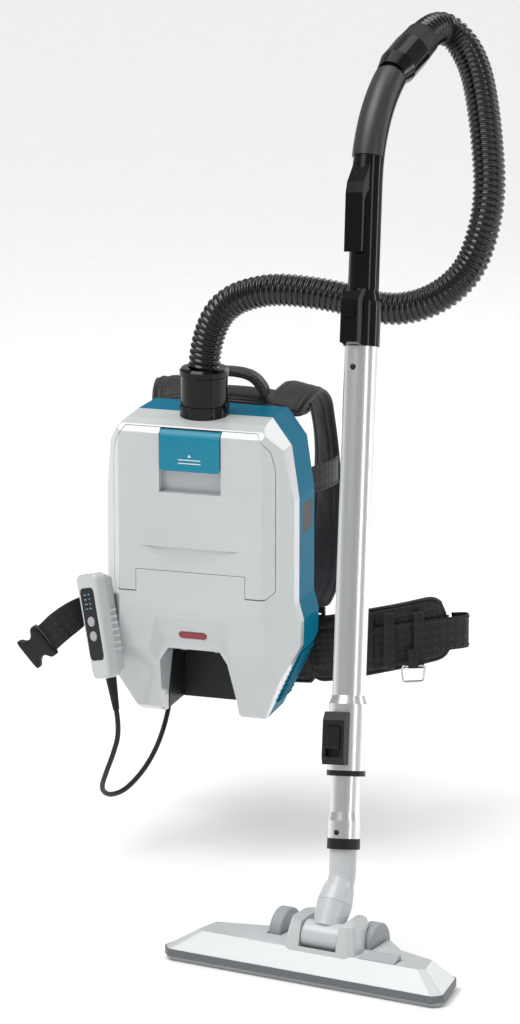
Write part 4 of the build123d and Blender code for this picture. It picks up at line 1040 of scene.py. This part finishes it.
# %% Clips in the clear lip of the head
for u in (-143, 143):
    plate(f"lip_clip_{'left' if u < 0 else 'right'}", rounded(11, 3.4, 1), on_head(u, 2.2 + 2.6 * (abs(u) > 100), 2.2),
          HEAD_U, (0, 0, 1), 1.6, "floor_head", FINISH["black_satin"])

# %% [markdown]
# ## Hand remote
# A row of blue lights shows the battery's charge, and moulded ridges on the flank keep it in the hand.

# %% Lights and ridges of the remote
REMOTE_UP = Vector((-0.219, 0.159, 0.963)).normalized()
REMOTE_OUT = Vector((-0.59, -0.81, 0)).normalized()
REMOTE = Vector((-106, -152.5, -93.5))
LED_BLUE = moulded("lit_blue_led", "#2FA9E0", "#6FD0F5", 0.25, grain=0.0, Emission_Color=linear("#2FA9E0"),
                   Emission_Strength=0.8)
panel_level = reach("remote_panel", REMOTE_OUT)
panel_right = REMOTE_OUT.cross(REMOTE_UP) * -1
for number in range(4):
    spot = REMOTE + REMOTE_UP * (37 - 5.4 * number) + panel_right * 3.0
    spot += REMOTE_OUT * (panel_level - spot.dot(REMOTE_OUT))
    plate(f"charge_light_{number}", rounded(3.2, 2.4, 0.5), spot, panel_right * -1, REMOTE_UP, 0.35, "pack",
          LED_BLUE, 0.15)
    spot -= panel_right * 8.0
    plate(f"mode_mark_{number}", rounded(5.6, 0.9, 0.4), spot, panel_right * -1, REMOTE_UP, 0.3, "pack",
          PRINT_WHITE, 0.1)
flank = REMOTE_UP.cross(REMOTE_OUT).normalized()
if flank.x < 0:
    flank = flank * -1
flank_level = reach("remote_back", flank)
for number in range(7):
    spot = REMOTE + REMOTE_UP * (16 - 7.5 * number) + REMOTE_OUT * -3.0
    spot += flank * (flank_level - 1.2 - spot.dot(flank))
    plate(f"grip_ridge_{number}", rounded(13, 2.6, 1.2), spot, flank.cross(REMOTE_UP), REMOTE_UP, 1.6, "pack",
          FINISH["housing_white"], 0.5)

# %% Spring pins that lock the wand's tubes
def turned(name, profile, centre, axis, body, material, sides=28):
    """A turned part: (radius, height) pairs in millimetres about an axis."""
    spin = Vector(axis).to_track_quat("Z", "Y").to_matrix()
    verts, faces = [], []
    for radius, height in profile:
        for k in range(sides):
            turn = 2 * pi * k / sides
            verts.append(
                (Vector(centre) + spin @ Vector((radius * cos(turn), radius * sin(turn), height))) * MM
            )
    for i in range(len(profile) - 1):
        for k in range(sides):
            m = (k + 1) % sides
            faces.append([i * sides + k, i * sides + m, (i + 1) * sides + m, (i + 1) * sides + k])
    faces += [list(range(sides))[::-1], [(len(profile) - 1) * sides + k for k in range(sides)]]
    return piece(name, verts, faces, body, material)


WAND_FOOT = Vector((262.3, -407.3, -242.8))
WAND_FRONT = Vector((-0.2006, -0.945, 0.2584)).normalized()
PIN_PROFILE = [(3.4, -2.5), (3.4, 0.0), (3.1, 0.9), (2.3, 1.6), (1.1, 2.0), (0.3, 2.1)]
for name, station, tube_radius, body in (
    ("foot_pin", 15, 16.6, "wand_inner"), ("sleeve_pin", 518, 18.0, "wand")
):
    turned("spring_" + name, PIN_PROFILE, WAND_FOOT + WAND_UP * station + WAND_FRONT * tube_radius, WAND_FRONT, body,
           FINISH["black_satin"])

# %% [markdown]
# ## Side-release buckle
# The socket of the hip buckle has a waist where the two prongs are pressed. It is a closed loft over
# rounded sections whose width follows that waist.

# %% Buckle socket
buckle_run = (Vector(LEFT_WEB[-1]) - Vector(LEFT_WEB[-2])).normalized()
buckle_up = Vector((0, 0, 1)) - buckle_run * buckle_run.z
buckle_up.normalize()
buckle_out = buckle_run.cross(buckle_up)
BUCKLE_SHAPE = [(1.4, 10, 2.5), (2.2, 21, 4.6), (6, 21.5, 5.2), (9, 21, 5.4), (11, 19.5, 5.4), (14.5, 14.5, 5.3), (18, 12.4, 5.2),
                (22, 12.6, 5.2), (26, 14.6, 5.3), (29.5, 18.5, 5.4), (32, 19.8, 5.3), (34.6, 19.6, 5.0), (35.2, 18.6, 4.2)]
verts, faces = [], []
outline = rounded(2, 2, 0.45, 4)
for s, half, thick in BUCKLE_SHAPE:
    for x, y in outline:
        verts.append(
            (Vector(LEFT_WEB[-1]) + buckle_run * s + buckle_up * (x * half) + buckle_out * (y * thick)) * MM
        )
n = len(outline)
for i in range(len(BUCKLE_SHAPE) - 1):
    faces += [
        [i * n + j, i * n + (j + 1) % n, (i + 1) * n + (j + 1) % n, (i + 1) * n + j] for j in range(n)
    ]
faces += [list(range(n))[::-1], list(range((len(BUCKLE_SHAPE) - 1) * n, len(BUCKLE_SHAPE) * n))]
buckle = piece(
    "waisted_buckle", verts, faces, "pack", FINISH["black_satin"], smooth=False
)
outwards(buckle)
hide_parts("buckle_socket")

# %% [markdown]
# ## Dust bag
# Under the lid hangs the fleece bag on its collar. It is slack when empty, so it is a pad with a low
# fill and a crease along each side.

# %% Fleece bag
BAG_ROWS = 24
low, high = (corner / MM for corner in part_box("dust_bag"))
bag_frames = frames_of(
    [Vector(((low.x + high.x) / 2, (low.y + high.y) / 2, low.z + (high.z - low.z) * i / BAG_ROWS)) for i in range(BAG_ROWS + 1)],
    [Vector((-1, 0, 0))] * (BAG_ROWS + 1),
)
bag_frames = facing(bag_frames, (0, -1, 0))
bag, _, _ = sewn_pad(
    "fleece_bag", bag_frames, (high.x - low.x) / 2 - 4, (high.y - low.y) - 8, "pack", lengthwise=(-0.8, 0.8), corner=14
)
bag.data.materials[0] = bag.data.materials[1] = FINISH["bag_paper"]
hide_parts("dust_bag")

# %% Finishes of the CAD nodes
for name, node in frame["nodes"].items():
    row = next(r for r in frame["record"]["subparts"] if r["node"] == name)
    node.data.materials.clear()
    node.data.materials.append(FINISH[row["material_slot"]])

# %% [markdown]
# ## Stage and light
# A plain pale floor, a large soft key from the left front, a broad fill from the right and a strip
# behind for the rims. Large area lights make long soft highlights on gloss, as a studio's softboxes do.

# %% Floor, world and lights
bpy.context.scene.view_settings.view_transform = "Standard"  # keeps black and white as they are
floor_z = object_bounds()[0].z - 0.001
bpy.ops.mesh.primitive_plane_add(size=300, location=(0, 0, floor_z))
floor = bpy.context.object
floor.name = "studio_floor"
floor.data.materials.append(moulded("pale_studio_paper", "#F6F6F6", "#FBFBFB", 0.9, grain=0.02))

world = bpy.data.worlds.new("studio")
bpy.context.scene.world = world
world.use_nodes = True
world.node_tree.nodes["Background"].inputs["Color"].default_value = (1, 1, 1, 1)
world.node_tree.nodes["Background"].inputs["Strength"].default_value = 0.38


def softbox(name, place, aim, size, watts):
    """A rectangular area light that faces a point."""
    light = bpy.data.lights.new(name, "AREA")
    light.shape, light.size, light.size_y, light.energy = "RECTANGLE", size[0], size[1], watts
    box = bpy.data.objects.new(name, light)
    box.location = place
    box.rotation_euler = (Vector(aim) - Vector(place)).to_track_quat("-Z", "Y").to_euler()
    bpy.context.scene.collection.objects.link(box)


softbox("key", (-1.25, -2.7, 2.45), (0, -0.1, 0), (2.0, 1.2), 15)
softbox("fill", (2.5, -1.5, 1.0), (0.1, -0.1, 0), (0.35, 2.2), 9)
softbox("top", (0.0, 0.6, 2.6), (0.1, -0.1, 0), (2.2, 1.4), 14)
softbox("edge", (2.6, 0.9, 0.9), (0.1, -0.1, 0.2), (0.3, 2.4), 12)
softbox("rim", (0.9, 2.4, 1.4), (0, 0, 0.1), (1.6, 1.6), 14)
sun = bpy.data.objects.new("ceiling_glow", bpy.data.lights.new("ceiling_glow", "SUN"))
sun.data.energy, sun.data.angle = 1.9, radians(40)
sun.rotation_euler = (radians(24), 0, radians(-48))
bpy.context.scene.collection.objects.link(sun)
